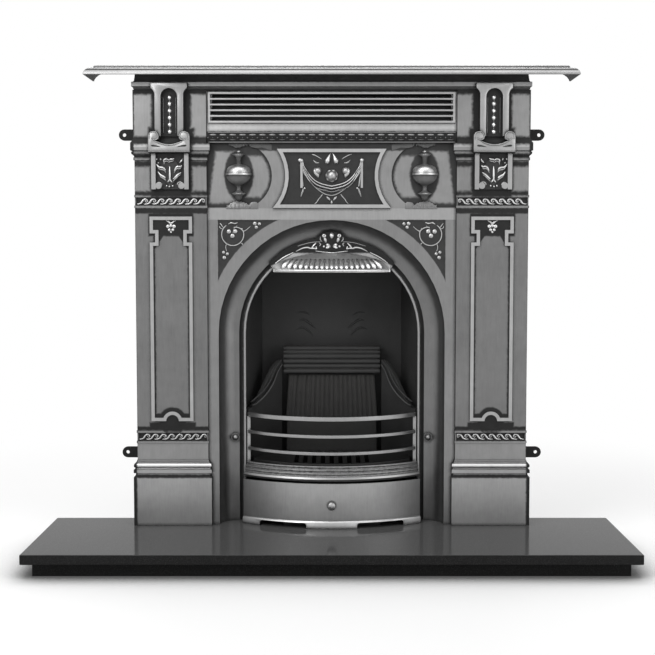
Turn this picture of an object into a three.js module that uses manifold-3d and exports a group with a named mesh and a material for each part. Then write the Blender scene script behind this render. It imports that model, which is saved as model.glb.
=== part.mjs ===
// A Victorian combination fireplace in cast iron: two pilaster jambs, a frieze with an air grille, an arched
// centre casting with its hood and firebox, a mantel shelf, a lift-off fire front, an ash pan behind a loose
// cover, and the granite hearth that it all stands on.
//
// Millimetres, +Z up. X runs across the fireplace from its centre line and +Y points into the chimney. In the
// functions below a place is written (x, d, z): d is the distance in front of the hearth's back edge, and z is
// the height above the hearth's top. A size called OUT, PROUD or LAP stands beyond what it belongs to, and one
// called DROP hangs below it.

import * as THREE from "three";
import { mergeVertices } from "three/addons/utils/BufferGeometryUtils.js";
import Module from "manifold-3d";

const wasm = await Module();
wasm.setup();

// ---------------------------------------------------------------- driving dimensions

const GAP = 0.3; // left between neighbouring pieces
const RUNNING_GAP = 2; // left round a piece that lifts or slides out

// Granite hearth
const HEARTH_WIDTH = 1524;
const HEARTH_DEPTH = 407;
const SLAB_THICK = 25;
const RISER_HEIGHT = 34;
const RISER_THICK = 20;
const RISER_INSET = 25;
const BACK_HEARTH_LAP = 7; // beyond the firebox's back
const BACK_HEARTH_SIDE = 10; // beyond the firebox's sides

// Castings in general
const IRON = 8; // wall of the jambs and flanges
const PLATE_THICK = 10;
const BACKING = 4; // web behind applied ornament
const SURROUND_BACK = 18; // the castings' back plane
const SURROUND_TOP = 1163; // top of the jambs and the header

// Arch
const ARCH_RADIUS = 303; // front edge of the cove
const ARCH_STEPS = 28;
const COVE_RADIUS = 51;
const STRIP = 11; // flat of the frame between the cove and the bead
const FRAME_BEAD = 8;
const FRAME_LAP = 22; // of the frame behind the cove
const FRAME_THICK = 8.7;
const BEAD_PROUD = 12;

// Jambs
const STILE = 29; // plate between the arch and the jamb
const JAMB_WIDTH = 190.5;
const JAMB_FRONT = 88;
const PLINTH_HEIGHT = 132;
const PLINTH_OUT = 9.5; // the plinth and the cornice beyond the shaft
const BASE_TALL = 46; // mouldings over the plinth
const LOWER_SHAFT = 45; // from the base to the lower wave band
const BAND_HEIGHT = 34;
const BAND_BEAD = 6;
const BAND_BEAD_OUT = 1.5;
const BAND_SUNK = 3.5;
const FRIEZE_TALL = 139; // from the cornice to the top
const CORNICE_TALL = 46;
const NECK_TALL = 125; // from the upper wave band to the cornice
const BLOCK_OUT = 3;
const PANEL_HALF = 56.5; // frame on the shaft
const PANEL_LOW = 26; // above the lower band
const PANEL_DROP = 23; // below the upper band
const PANEL_BAR = 9;
const PANEL_PROUD = 3.5;
const PANEL_NOTCH_DROP = 44.5;
const PANEL_NOTCH_TALL = 24;
const PANEL_NOTCH_DEEP = 14.5;
const PANEL_ARCH = 17;
const EAR_REACH = 37; // wall fixing ears
const EAR_RADIUS = 15;
const EAR_HOLE = 5;
const EAR_THICK = 6;
const EAR_LOW = 188;
const EAR_DROP = 112; // of the upper ears

// Brackets and leaf tablets on the jambs
const BRACKET_LAP = 17; // over the bed mould
const STRAP_OUT = 24;
const STRAP_HALF = 39;
const STRAP_SLOT = 21.5;
const STRAP_SLOT_DROP = 15;
const STRAP_FLARE = 9;
const STRAP_FLARE_TALL = 12;
const SADDLE_UP = 20; // above the neck
const SADDLE_TALL = 40; // up to the volutes' centres
const SADDLE_HALF = 55;
const SADDLE_OUT = 30;
const SADDLE_DIP = 23;
const SADDLE_DIP_HALF = 32;
const SADDLE_SAG = 9;
const SADDLE_SHOULDER = 20;
const VOLUTE_RADIUS = 13;
const BEADS = 7;
const BEAD_RADIUS = 5.6;
const BEAD_DROP = 25; // of the top bead below the slot's end
const TABLET_HALF = 49.5;
const TABLET_DROP = 77; // below the neck
const TABLET_OUT = 14;
const TABLET_BAR = 12;
const TABLET_VOLUTE = 9;
const LEAF_HALF = 27;
const LEAF_SUNK = 5;

// Centre casting with its niches, spandrels, urns and plaque
const PLATE_SET_BACK = 8; // behind the jambs' front
const NICHE_IN = 85; // niche's centre from the jamb
const NICHE_DROP = 86;
const NICHE_RADIUS = 88;
const NICHE_FALL = 84; // of its flat foot beside the jamb, below its centre
const NICHE_SUNK = 5;
const URN_RADIUS = 35.5;
const URN_TALL = 135;
const URN_RISE = 67; // of its finial above the niche's centre
const PLAQUE_RISE = 71;
const PLAQUE_FALL = 85;
const PLAQUE_CLEAR = 36; // ring between a niche and the plaque
const PLAQUE_BAR = 9;
const PLAQUE_OUT = 8;
const PLAQUE_FIELD_OUT = 3;
const CROWN_DROP = 32; // from the plaque to the arch
const SPANDREL_MARGIN = 33;
const SPANDREL_SUNK = 3;
const SWAG_X = 80; // knobs that the swag hangs from
const SWAG_RISE = 40;
const SWAG_FALL = 72;
const SWAG_HALF_THICK = 7;
const ROSETTE = 6.5;
const FLOWER = 16;
const FRUIT = 11;
const FRUIT_X = 37;
const FRUIT_RISE = 13;
const RIBBON_HALF = 3;
const STUD_IN = 11; // stud's centre from the cove's inner edge
const STUD_Z = 231;
const STUD_RADIUS = 9;
const STUD_BOSS = 12;
const STUD_SHANK = 3;

// Header and air grille
const HEADER_OUT = 4; // before the centre plate
const GRILLE_SIDE = 5; // from the jamb
const GRILLE_UP = 52.5; // above the cornice
const GRILLE_DROP = 5;
const GRILLE_BAR = 5;
const GRILLE_SLOTS = 5;
const GRILLE_RIM = 6;
const GRILLE_PROUD = 5;
const GRILLE_SEAT = 5; // how far its rim laps over the header
const EGG_UP = 2;
const EGG_TALL = 26;
const EGG_OUT = 6;

// Bed mould and shelf
const BED_SHORT = 1; // its end inside the shaft's side
const BED_PROUD = 2.5;
const BED_OUT = 6.5;
const BED_TALL = 53.7;
const PAD_INNER = 300;
const PAD_END = 43.5;
const PAD_SIZE = 15;
const PAD_DROP = 20;
const PAD_DEPTH = 50;
const SHELF_OVERHANG = 122.5;
const SHELF_DEPTH = 132;
const SHELF_TALL = 27;
const SHELF_THICK = 5;
const SHELF_BOSS = 10;

// Hood
const HOOD_DROP = 139; // of its rim below the arch's crown
const HOOD_RIM_TALL = 7;
const HOOD_SET = 8; // rim's ends before the crest's back
const HOOD_BOW = 52; // how far the rim's middle stands before its ends
const HOOD_APRON = 46; // height of the apron over the rim
const HOOD_APRON_END = 14;
const HOOD_THICK = 5;
const CREST_SET = 3; // before the bead
const CREST_THICK = 6;
const CREST_LAP = 25; // beyond the frame's opening
const CREST_DROP = 29;
const CREST_TOP_HALF = 32;
const HOOD_BOLT_ANGLE = 60;
const HOOD_SCREW = 2;
const HOOD_BOSS = 5;

// Firebox
const FIREBOX_DROP = 51; // below the arch's crown
const FIREBOX_BACK = 165;
const FIREBOX_SIDE = 11; // beyond the frame's opening
const FIREBOX_SPLAY = 44;
const THROAT_HALF = 110;
const THROAT_FRONT = -55;
const THROAT_BACK = -130;
const THROAT_LAP = 12;
const FLAP_THICK = 6;
const FLAP_LAP = 8;
const HINGE_BACK = 6; // behind the flap's lap
const PIN_RADIUS = 4;
const BARREL_WALL = 4.5;
const EYE = 9; // half size of the lugs round the pin
const TONGUE_LONG = 30;
const TONGUE_HALF = 9;
const TONGUE_THICK = 6;
const BRICK_TOP = 388;
const BRICK_HALF_TOP = 123;
const BRICK_HALF_BOTTOM = 134;
const BRICK_CLEAR = 12;
const BRICK_LEAN = 8;
const BRICK_THICK = 38;
const FLUTES = 9;
const FLUTE_DEEP = 3;
const LEDGE_TALL = 81;
const LEDGE_GROOVE = 10;
const LEDGE_HALF = 138;
const LEDGE_OUT = 12;
const LEDGE_RIBS = 3;
const LEDGE_CHAMFER = 8;
const CHEEK_THICK = 12;
const CHEEK_CLEAR = 3;
const CHEEK_LAP = 10; // of its rear end before the brick's face
const CHEEK_SET = 5; // of its front end behind the frame
const CHEEK_REAR_Z = 431;
const CHEEK_FRONT_Z = 303;
const CHEEK_LEDGE = 10;

// Fire front, grate, ash pan and cover
const BARS = 3;
const BAR_LOW = 197;
const BAR_PITCH = 45.5;
const BAR_TALL = 8;
const TOP_BAR_TALL = 11;
const BAR_BOW = 105;
const BAR_THICK = 8;
const UPRIGHT = 9;
const RAIL_SIDE = 3; // beyond the frame's opening
const RAIL_OUT = 2; // before the bars
const RAIL_BOW = 85;
const RAIL_BOTTOM = 140;
const RAIL_TALL = 27;
const RAIL_THICK = 12;
const ROLL_RADIUS = 7.5;
const REST_Z = 188; // ledges that carry the fire front
const REST_TALL = 12;
const GRATE_Z = 160;
const GRATE_THICK = 12;
const GRATE_SLOTS = 9;
const GRATE_SLOT = 12;
const GRATE_PITCH = 24;
const GRATE_EDGE = 15;
const COVER_SIDE = 7; // beyond the frame's opening
const COVER_SET = 1; // behind the bars
const COVER_BOW = 72;
const COVER_THICK = 6;
const COVER_TOP = 121;
const COVER_FOOT = 20;
const COVER_FOOT_OUT = 4;
const NOTCH_MIDDLE = 131;
const NOTCH_HALF = 63;
const NOTCH_TALL = 15;
const KNOB_Z = 63;
const KNOB_RADIUS = 11.5;
const KNOB_LONG = 16;
const PAN_HALF = 130;
const PAN_SET = 46; // behind the cover's front
const PAN_CLEAR = 12;
const PAN_TALL = 75;
const PAN_SHEET = 2;
const PAN_RIM = 5;
const HANDLE_HALF = 42;
const HANDLE_OUT = 14;
const HANDLE_FOOT = 14;
const HANDLE_WIDE = 14;
const HANDLE_SHEET = 3;

// Bolts
const BOLT_SHANK = 4;
const BOLT_HEAD = 7;
const BOLT_HEAD_TALL = 5;
const BOLT_D = 45;
const BOLT_LOW = 250;
const BOLT_MIDDLE = 600;
const BOLT_PLATE_DROP = 124; // below the cornice
const BOLT_HEADER_DROP = 53;

// ---------------------------------------------------------------- sizes worked out from them

// Heights
const HEARTH_HEIGHT = SLAB_THICK + RISER_HEIGHT;
const CORNICE_TOP = SURROUND_TOP - FRIEZE_TALL;
const NECK_Z = CORNICE_TOP - CORNICE_TALL;
const UPPER_BAND = NECK_Z - NECK_TALL;
const BASE_TOP = PLINTH_HEIGHT + BASE_TALL;
const LOWER_BAND = BASE_TOP + LOWER_SHAFT;
const PANEL_BOTTOM = LOWER_BAND + BAND_HEIGHT + PANEL_LOW;
const PANEL_TOP = UPPER_BAND - PANEL_DROP;
const SADDLE_BOTTOM = NECK_Z + SADDLE_UP;
const VOLUTE_Z = SADDLE_BOTTOM + SADDLE_TALL;
const BRACKET_TOP = SURROUND_TOP + BRACKET_LAP;
const TABLET_BOTTOM = NECK_Z - TABLET_DROP;
const NICHE_Z = CORNICE_TOP - NICHE_DROP;
const PLAQUE_TOP = NICHE_Z + PLAQUE_RISE;
const PLAQUE_BOTTOM = NICHE_Z - PLAQUE_FALL;
const ARCH_CROWN = PLAQUE_BOTTOM - CROWN_DROP;
const ARCH_SPRING = ARCH_CROWN - ARCH_RADIUS;
const GRILLE_BOTTOM = CORNICE_TOP + GRILLE_UP;
const GRILLE_TOP = SURROUND_TOP - GRILLE_DROP;
const BED_TOP = SURROUND_TOP + BED_TALL;
const PAD_Z = BED_TOP - PAD_DROP;
const SHELF_TOP = BED_TOP + GAP + SHELF_THICK;
const HOOD_RIM = ARCH_CROWN - HOOD_DROP;
const HOOD_RIM_TOP = HOOD_RIM + HOOD_RIM_TALL;
const CREST_PEAK = ARCH_CROWN - CREST_DROP;
const FIREBOX_TOP = ARCH_CROWN - FIREBOX_DROP;
const FLUE_Z = FIREBOX_TOP + IRON; // top face of the throat plate
const BAR_TOP = BAR_LOW + (BARS - 1) * BAR_PITCH + TOP_BAR_TALL;
const BOLT_HEIGHTS = [BOLT_LOW, BOLT_MIDDLE, CORNICE_TOP - BOLT_PLATE_DROP];
const HEADER_BOLT = SURROUND_TOP - BOLT_HEADER_DROP;

// Half widths
const COVE_INNER = ARCH_RADIUS - COVE_RADIUS;
const FRAME_IN = COVE_INNER - STRIP - FRAME_BEAD;
const FRAME_OUT = COVE_INNER + FRAME_LAP;
const STUD_X = COVE_INNER + STUD_IN;
const JAMB_INNER = ARCH_RADIUS + STILE;
const JAMB_OUTER = JAMB_INNER + JAMB_WIDTH;
const JAMB_MIDDLE = (JAMB_INNER + JAMB_OUTER) / 2;
const NICHE_X = JAMB_INNER - NICHE_IN;
const GRILLE_HALF = JAMB_INNER - GRILLE_SIDE;
const BED_HALF = JAMB_OUTER - BED_SHORT;
const SHELF_HALF = BED_HALF + SHELF_OVERHANG;
const HOOD_HALF = Math.sqrt(FRAME_IN ** 2 - (HOOD_RIM_TOP - ARCH_SPRING) ** 2);
const FIREBOX_FRONT_HALF = FRAME_IN + FIREBOX_SIDE;
const FIREBOX_BACK_HALF = FIREBOX_FRONT_HALF - FIREBOX_SPLAY;
const BAR_HALF = FRAME_IN - RUNNING_GAP;
const RAIL_HALF = FRAME_IN + RAIL_SIDE;
const COVER_HALF = FRAME_IN + COVER_SIDE;

// Depths
const PLATE_FRONT = JAMB_FRONT - PLATE_SET_BACK;
const COVE_BACK = PLATE_FRONT - COVE_RADIUS - IRON;
const FRAME_FLANGE = COVE_BACK - GAP;
const FRAME_BACK = FRAME_FLANGE - FRAME_THICK;
const BEAD_FRONT = COVE_BACK + BEAD_PROUD;
const HEADER_FRONT = PLATE_FRONT + HEADER_OUT;
const BED_FRONT = JAMB_FRONT + BED_PROUD;
const SHELF_FRONT = SURROUND_BACK + SHELF_DEPTH;
const CREST_BACK = BEAD_FRONT + CREST_SET;
const BAR_FRONT = CREST_BACK - 2 * CREST_SET + BAR_BOW;
const RAIL_FRONT = BAR_FRONT + RAIL_OUT;
const COVER_FRONT = BAR_FRONT - COVER_SET;
const BRICK_FACE = BRICK_CLEAR + BRICK_THICK - FIREBOX_BACK;
const LEDGE_FRONT = BRICK_FACE + LEDGE_OUT;
const PAN_FRONT = COVER_FRONT - PAN_SET;
const PAN_BACK = BRICK_FACE + BRICK_LEAN + PAN_CLEAR;
const BACK_HEARTH_DEPTH = FIREBOX_BACK + IRON + BACK_HEARTH_LAP;
const BACK_Y = (HEARTH_DEPTH - BACK_HEARTH_DEPTH) / 2; // puts the origin under the middle of the whole

// Inner face of the right-hand cheek in x and d, and the damper's pin and the lugs that carry it
const CHEEK_BACK = [LEDGE_HALF + CHEEK_CLEAR, BRICK_FACE + CHEEK_LAP];
const CHEEK_FRONT = [FRAME_IN - CHEEK_CLEAR, FRAME_BACK - CHEEK_SET];
const PIN_Z = FLUE_Z + GAP + PIN_RADIUS + IRON;
const PIN_D = THROAT_BACK - FLAP_LAP - HINGE_BACK;
const LUG_X = THROAT_HALF + FLAP_LAP + HINGE_BACK;

// ---------------------------------------------------------------- shape helpers

const at = (x, d, z) => [x, BACK_Y - d, HEARTH_HEIGHT + z];

/** A closed geometry as a solid, turned so that its faces point out. */
function solid(geometry) {
  geometry.deleteAttribute("normal");
  geometry.deleteAttribute("uv");
  const merged = mergeVertices(geometry, 1e-4);
  const points = merged.attributes.position.array;
  const triangles = [];
  let volume = 0;
  for (let i = 0; i < merged.index.count; i += 3) {
    const [a, b, c] = [0, 1, 2].map((k) => merged.index.getX(i + k));
    if (a === b || b === c || c === a) continue;
    triangles.push(a, b, c);
    const [p, q, r] = [a, b, c].map((v) => new THREE.Vector3().fromArray(points, 3 * v));
    volume += p.dot(q.cross(r));
  }
  if (volume < 0) triangles.reverse();
  const mesh = new wasm.Mesh({
    numProp: 3,
    vertProperties: points,
    triVerts: new Uint32Array(triangles),
  });
  return new wasm.Manifold(mesh);
}

const join = (first, ...rest) => rest.reduce((whole, piece) => whole.add(piece), first);
const cut = (first, ...rest) => rest.reduce((whole, piece) => whole.subtract(piece), first);

/** Joins sections, which are the same outline at successive stations, into one closed solid. */
function skin(outline, stations) {
  const section = outline.map(([u, v]) => new THREE.Vector2(u, v));
  if (THREE.ShapeUtils.area(section) < 0) section.reverse();
  const count = section.length;
  const points = stations.flatMap((station) => section.flatMap(({ x, y }) => at(...station(x, y))));
  const index = [];
  for (let s = 0; s + 1 < stations.length; s++)
    for (let i = 0; i < count; i++) {
      const a = s * count + i;
      const b = s * count + ((i + 1) % count);
      index.push(a, b, b + count, a, b + count, a + count);
    }
  const last = (stations.length - 1) * count;
  for (const [a, b, c] of THREE.ShapeUtils.triangulateShape(section, []))
    index.push(a, c, b, last + a, last + b, last + c);
  const geometry = new THREE.BufferGeometry();
  geometry.setAttribute("position", new THREE.Float32BufferAttribute(points, 3));
  geometry.setIndex(index);
  return solid(geometry);
}

function box(x0, x1, d0, d1, z0, z1) {
  const corners = [[x0, d0], [x1, d0], [x1, d1], [x0, d1]];
  return skin(corners, [(x, d) => [x, d, z0], (x, d) => [x, d, z1]]);
}

/** An upright plate: an outline in x and z between two depths, with holes. */
function plate(outline, d0, d1, holes = []) {
  const shape = new THREE.Shape(outline.map(([x, z]) => new THREE.Vector2(x, z)));
  shape.holes = holes.map((hole) => new THREE.Path(hole.map(([x, z]) => new THREE.Vector2(x, z))));
  const geometry = new THREE.ExtrudeGeometry(shape, { depth: d1 - d0, bevelEnabled: false });
  geometry.rotateX(Math.PI / 2);
  geometry.translate(0, BACK_Y - d0, HEARTH_HEIGHT);
  return solid(geometry);
}

/** A level piece: an outline in x and d between two heights. */
function slab(outline, z0, z1) {
  return skin(outline, [(x, d) => [x, d, z0], (x, d) => [x, d, z1]]);
}

/** A block whose front and sides step in and out with height: levels are pairs of height and projection. */
function moulded(x0, x1, d0, d1, levels) {
  const corners = [[0, 0], [1, 0], [1, 1], [0, 1]];
  return skin(
    corners,
    levels.map(([z, out]) => (u, v) => [u ? x1 + out : x0 - out, v ? d1 + out : d0, z]),
  );
}

const range = (count) => Array.from({ length: count }, (_, i) => i);
const mirror = (points) => points.map(([u, v]) => [-u, v]);
const rectangle = (u0, u1, v0, v1) => [[u0, v0], [u1, v0], [u1, v1], [u0, v1]];
const inOrder = (a, b) => (a < b ? [a, b] : [b, a]);

/** Levels of a moulding from shares of its height and of its projection. */
const profile = (shares, z, tall, out) => shares.map(([up, forward]) => [z + up * tall, forward * out]);

/** Points round an arc, both ends included. Angles are in degrees. */
function arc(u, v, radius, from, to, steps) {
  return range(steps + 1).map((i) => {
    const angle = THREE.MathUtils.degToRad(from + ((to - from) * i) / steps);
    return [u + radius * Math.cos(angle), v + radius * Math.sin(angle)];
  });
}

const circle = (u, v, radius, steps) => arc(u, v, radius, 0, 360, steps).slice(0, -1);

/** A hanging curve from side to side that sags below its ends, from left to right. */
function sag(u, v, half, fall, steps) {
  const { radius, angle } = bow(half, 0, fall);
  const turn = THREE.MathUtils.radToDeg(angle);
  return arc(u, v - fall + radius, radius, -90 - turn, -90 + turn, steps);
}

/** A section of radius and depth swept up one side of the arch, round it and down the other side. */
function archway(outline, bottom) {
  const foot = (side) => (r, d) => [side * r, d, bottom];
  const round = range(ARCH_STEPS + 1).map((i) => {
    const angle = (Math.PI * i) / ARCH_STEPS;
    return (r, d) => [-r * Math.cos(angle), d, ARCH_SPRING + r * Math.sin(angle)];
  });
  return skin(outline, [foot(-1), ...round, foot(1)]);
}

/** Radius, centre and half angle of a bow, from its half chord, its front and its rise. */
function bow(half, front, rise) {
  const radius = (half * half + rise * rise) / (2 * rise);
  return { radius, middle: front - radius, angle: Math.acos(1 - rise / radius) };
}

/** A section of radial offset and height swept along a bow in plan. */
function bowed(outline, { radius, middle, angle }, steps) {
  const stations = range(steps + 1).map((i) => {
    const turn = -angle + (2 * angle * i) / steps;
    return (r, z) => [(radius + r) * Math.sin(turn), middle + (radius + r) * Math.cos(turn), z];
  });
  return skin(outline, stations);
}

/** A turned piece. Its outline holds pairs of radius and distance along the axis. */
function turned(outline, place, axis, steps = 12) {
  const points = outline.map(([r, y]) => new THREE.Vector2(r, y));
  const geometry = new THREE.LatheGeometry(points, steps);
  if (axis === "forward") geometry.rotateX(Math.PI);
  if (axis === "up") geometry.rotateX(Math.PI / 2);
  if (axis === "across") geometry.rotateZ(-Math.PI / 2);
  geometry.translate(...at(...place));
  return solid(geometry);
}

const rod = (radius, long, place, axis, steps) =>
  turned([[0, 0], [radius, 0], [radius, long], [0, long]], place, axis, steps);

/** A low dome on a plate, from a little behind the plate's face. */
const dome = (x, d, z, radius, steps) =>
  turned([[0, -1], [radius, -1], ...arc(0, 0, radius, 0, 90, 3)], [x, d, z], "forward", steps);

/** A bolt with its nut: head, shank through the grip, and nut, along one axis. */
function bolt(place, axis, grip) {
  const half = [[0, -BOLT_HEAD_TALL], [BOLT_HEAD, -BOLT_HEAD_TALL], [BOLT_HEAD, 0], [BOLT_SHANK, 0]];
  const end = grip + BOLT_HEAD_TALL;
  const nut = [[BOLT_SHANK, grip], [BOLT_HEAD, grip], [BOLT_HEAD, end], [0, end]];
  return turned([...half, ...nut], place, axis, 6);
}

/** Holes for the flange bolts, across the joint between a jamb and what stands beside it. */
function boltHoles(x, heights) {
  return heights.map((z) => rod(BOLT_SHANK + GAP, 4 * IRON, [x - 2 * IRON, BOLT_D, z], "across", 6));
}

// ---------------------------------------------------------------- hearth

function hearth() {
  const half = HEARTH_WIDTH / 2;
  const inset = half - RISER_INSET;
  const front = HEARTH_DEPTH - RISER_INSET;
  const under = -SLAB_THICK - GAP;
  const floor = -HEARTH_HEIGHT;
  const side = (sign) => {
    const [x0, x1] = inOrder(sign * inset, sign * (inset - RISER_THICK));
    return box(x0, x1, 0, front - RISER_THICK - GAP, floor, under);
  };
  const fill = inset - RISER_THICK - GAP;
  const backHalf = FIREBOX_FRONT_HALF + IRON + BACK_HEARTH_SIDE;
  return {
    hearth_slab: box(-half, half, 0, HEARTH_DEPTH, -SLAB_THICK, 0),
    hearth_riser_front: box(-inset, inset, front - RISER_THICK, front, floor, under),
    hearth_riser_left: side(-1),
    hearth_riser_right: side(1),
    hearth_backfill: box(-fill, fill, 0, front - RISER_THICK - GAP, floor, under),
    back_hearth: box(-backHalf, backHalf, -BACK_HEARTH_DEPTH, -GAP, floor, 0),
  };
}

// ---------------------------------------------------------------- jambs

// Mouldings from the bottom up, as shares of their height and of the plinth's projection
const BASE_MOULDING = [
  [0, 1], [0.09, 0.53], [0.24, 0.42], [0.24, 1], [0.43, 1], [0.48, 0.63], [0.54, 0.53], [0.57, 0.79],
  [0.63, 0.95], [0.72, 0.95], [0.78, 0.79], [0.8, 0.32], [0.89, 0.32], [0.91, 0.16], [0.98, 0.16], [1, 0],
];
const CORNICE_MOULDING = [
  [0, 0], [0.02, 0.26], [0.17, 0.26], [0.2, 0.05], [0.28, 0.21], [0.37, 0.74], [0.5, 0.79], [0.5, 0.53],
  [0.57, 0.53], [0.57, 1], [1, 1], [1.07, 0.74], [1.26, BLOCK_OUT / PLINTH_OUT],
];

/** Heights and projections of the jamb's mouldings, from the floor of the plinth up. */
function jambLevels() {
  const out = BAND_BEAD_OUT;
  const band = (z) => [
    [z, 0], [z, out], [z + BAND_BEAD, out], [z + BAND_BEAD, 0],
    [z + BAND_HEIGHT - BAND_BEAD, 0], [z + BAND_HEIGHT - BAND_BEAD, out],
    [z + BAND_HEIGHT, out], [z + BAND_HEIGHT, 0],
  ];
  return [
    [GAP, PLINTH_OUT],
    ...profile(BASE_MOULDING, PLINTH_HEIGHT, BASE_TALL, PLINTH_OUT),
    ...band(LOWER_BAND),
    ...band(UPPER_BAND),
    ...profile(CORNICE_MOULDING, NECK_Z, CORNICE_TALL, PLINTH_OUT),
    [SURROUND_TOP, BLOCK_OUT],
  ];
}

/** The raised frame on the shaft, in x from the shaft's middle: its outer edge, then its inner edge. */
function panelFrame() {
  const half = PANEL_HALF;
  const bar = PANEL_BAR;
  const inner = half - bar;
  const high = PANEL_TOP - PANEL_NOTCH_DROP;
  const low = high - PANEL_NOTCH_TALL;
  const outerSide = [
    [half, PANEL_BOTTOM], [half, low], [half - PANEL_NOTCH_DEEP, low],
    [half - PANEL_NOTCH_DEEP, high], [half, high], [half, PANEL_TOP],
  ];
  const innerSide = [
    [inner, PANEL_BOTTOM + bar], [inner, low - bar], [inner - PANEL_NOTCH_DEEP, low - bar],
    [inner - PANEL_NOTCH_DEEP, high + bar], [inner, high + bar], [inner, PANEL_TOP - bar],
  ];
  const lift = THREE.MathUtils.radToDeg(Math.asin(bar / (PANEL_ARCH + bar)));
  const notch = arc(0, PANEL_BOTTOM, PANEL_ARCH, 180, 0, 10);
  const crown = arc(0, PANEL_BOTTOM, PANEL_ARCH + bar, 180 - lift, lift, 10);
  return [
    [...notch, ...outerSide, ...mirror(outerSide).reverse()],
    [...crown, ...innerSide, ...mirror(innerSide).reverse()],
  ];
}

/** Wall fixing ear with its screw hole. */
function ear(z) {
  const tip = -JAMB_OUTER - EAR_REACH;
  const root = -JAMB_OUTER + 1;
  const shape = [...arc(tip, z, EAR_RADIUS, 90, 270, 8), [root, z - EAR_RADIUS], [root, z + EAR_RADIUS]];
  return plate(shape, SURROUND_BACK, SURROUND_BACK + EAR_THICK, [circle(tip, z, EAR_HOLE, 10)]);
}

/** The left jamb. The right one is its mirror image. */
function leftJamb() {
  const body = moulded(-JAMB_OUTER, -JAMB_INNER, SURROUND_BACK, JAMB_FRONT, jambLevels());
  const shift = (points) => points.map(([x, z]) => [x - JAMB_MIDDLE, z]);
  const [outer, inner] = panelFrame();
  const frame = plate(shift(outer), JAMB_FRONT - 1, JAMB_FRONT + PANEL_PROUD, [shift(inner)]);
  const before = 2 * JAMB_FRONT;
  const rim = IRON / 2;
  const bandField = (z) =>
    box(
      -JAMB_OUTER + rim, -JAMB_INNER - rim, JAMB_FRONT - BAND_SUNK, before,
      z + BAND_BEAD, z + BAND_HEIGHT - BAND_BEAD,
    );
  const hollow = box(
    -JAMB_OUTER + IRON, -JAMB_INNER - IRON, 0, JAMB_FRONT - IRON - BAND_SUNK, IRON, SURROUND_TOP - IRON,
  );
  const overPlate = box(-JAMB_INNER, 0, 0, PLATE_FRONT + GAP, 0, CORNICE_TOP);
  const overHeader = box(-JAMB_INNER, 0, 0, before, CORNICE_TOP, SURROUND_TOP);
  const tabletSeat = box(
    -JAMB_MIDDLE - TABLET_HALF - GAP, -JAMB_MIDDLE + TABLET_HALF + GAP, JAMB_FRONT, before,
    NECK_Z - 1, SADDLE_BOTTOM,
  );
  const whole = join(body, frame, ear(EAR_LOW), ear(SURROUND_TOP - EAR_DROP));
  return cut(
    whole, bandField(LOWER_BAND), bandField(UPPER_BAND), hollow, overPlate, overHeader, tabletSeat,
    ...boltHoles(-JAMB_INNER, [...BOLT_HEIGHTS, HEADER_BOLT]),
  );
}

/** Strap with a keyhole slot and a row of beads, over a saddle with a volute at each end. */
function leftBracket() {
  const back = JAMB_FRONT + BLOCK_OUT + GAP;
  const strapFront = JAMB_FRONT + STRAP_OUT;
  const saddleFront = JAMB_FRONT + SADDLE_OUT;
  const middle = -JAMB_MIDDLE;
  const flareTop = BRACKET_TOP - BRACKET_LAP + RAIL_SIDE;
  const half = [
    [STRAP_HALF, VOLUTE_Z], [STRAP_HALF, flareTop - STRAP_FLARE_TALL],
    [STRAP_HALF + STRAP_FLARE, flareTop], [STRAP_HALF + STRAP_FLARE, BRACKET_TOP],
  ];
  const shift = (points) => points.map(([x, z]) => [x + middle, z]);
  const strap = shift([...half, ...mirror(half).reverse()]);
  const slotTop = BRACKET_TOP - STRAP_SLOT_DROP;
  const slotRound = arc(0, slotTop - STRAP_SLOT, STRAP_SLOT, 180, 0, 10);
  const slot = shift([...slotRound, [STRAP_SLOT, SADDLE_BOTTOM], [-STRAP_SLOT, SADDLE_BOTTOM]]);
  const volute = (side) => {
    const x = middle + side * (SADDLE_HALF - VOLUTE_RADIUS);
    return plate(circle(x, VOLUTE_Z, VOLUTE_RADIUS, 14), back, saddleFront);
  };
  const dip = sag(0, VOLUTE_Z - SADDLE_DIP + SADDLE_SAG, SADDLE_DIP_HALF, SADDLE_SAG, 8);
  const shoulder = SADDLE_HALF - SADDLE_SHOULDER;
  const saddle = [
    [-SADDLE_HALF, SADDLE_BOTTOM], [-SADDLE_HALF, VOLUTE_Z], [-shoulder, VOLUTE_Z - 2], ...dip,
    [shoulder, VOLUTE_Z - 2], [SADDLE_HALF, VOLUTE_Z], [SADDLE_HALF, SADDLE_BOTTOM],
  ];
  const web = plate(strap, back, back + BACKING);
  const straps = cut(plate(strap, back + 1, strapFront), plate(slot, back, strapFront + 1));
  const lowest = VOLUTE_Z - BEAD_RADIUS / 2;
  const pitch = (slotTop - BEAD_DROP - lowest) / (BEADS - 1);
  const beads = range(BEADS).map((i) => dome(middle, back + BACKING, lowest + i * pitch, BEAD_RADIUS, 8));
  const whole = join(web, straps, plate(shift(saddle), back, saddleFront), volute(-1), volute(1), ...beads);
  const cornice = box(
    -2 * JAMB_OUTER, 0, 0, JAMB_FRONT + PLINTH_OUT + GAP, 0, NECK_Z + 1.26 * CORNICE_TALL,
  );
  const bedMould = box(-2 * JAMB_OUTER, 0, 0, BED_FRONT + BED_OUT + GAP, SURROUND_TOP, BED_TOP);
  return cut(whole, cornice, bedMould);
}

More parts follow.
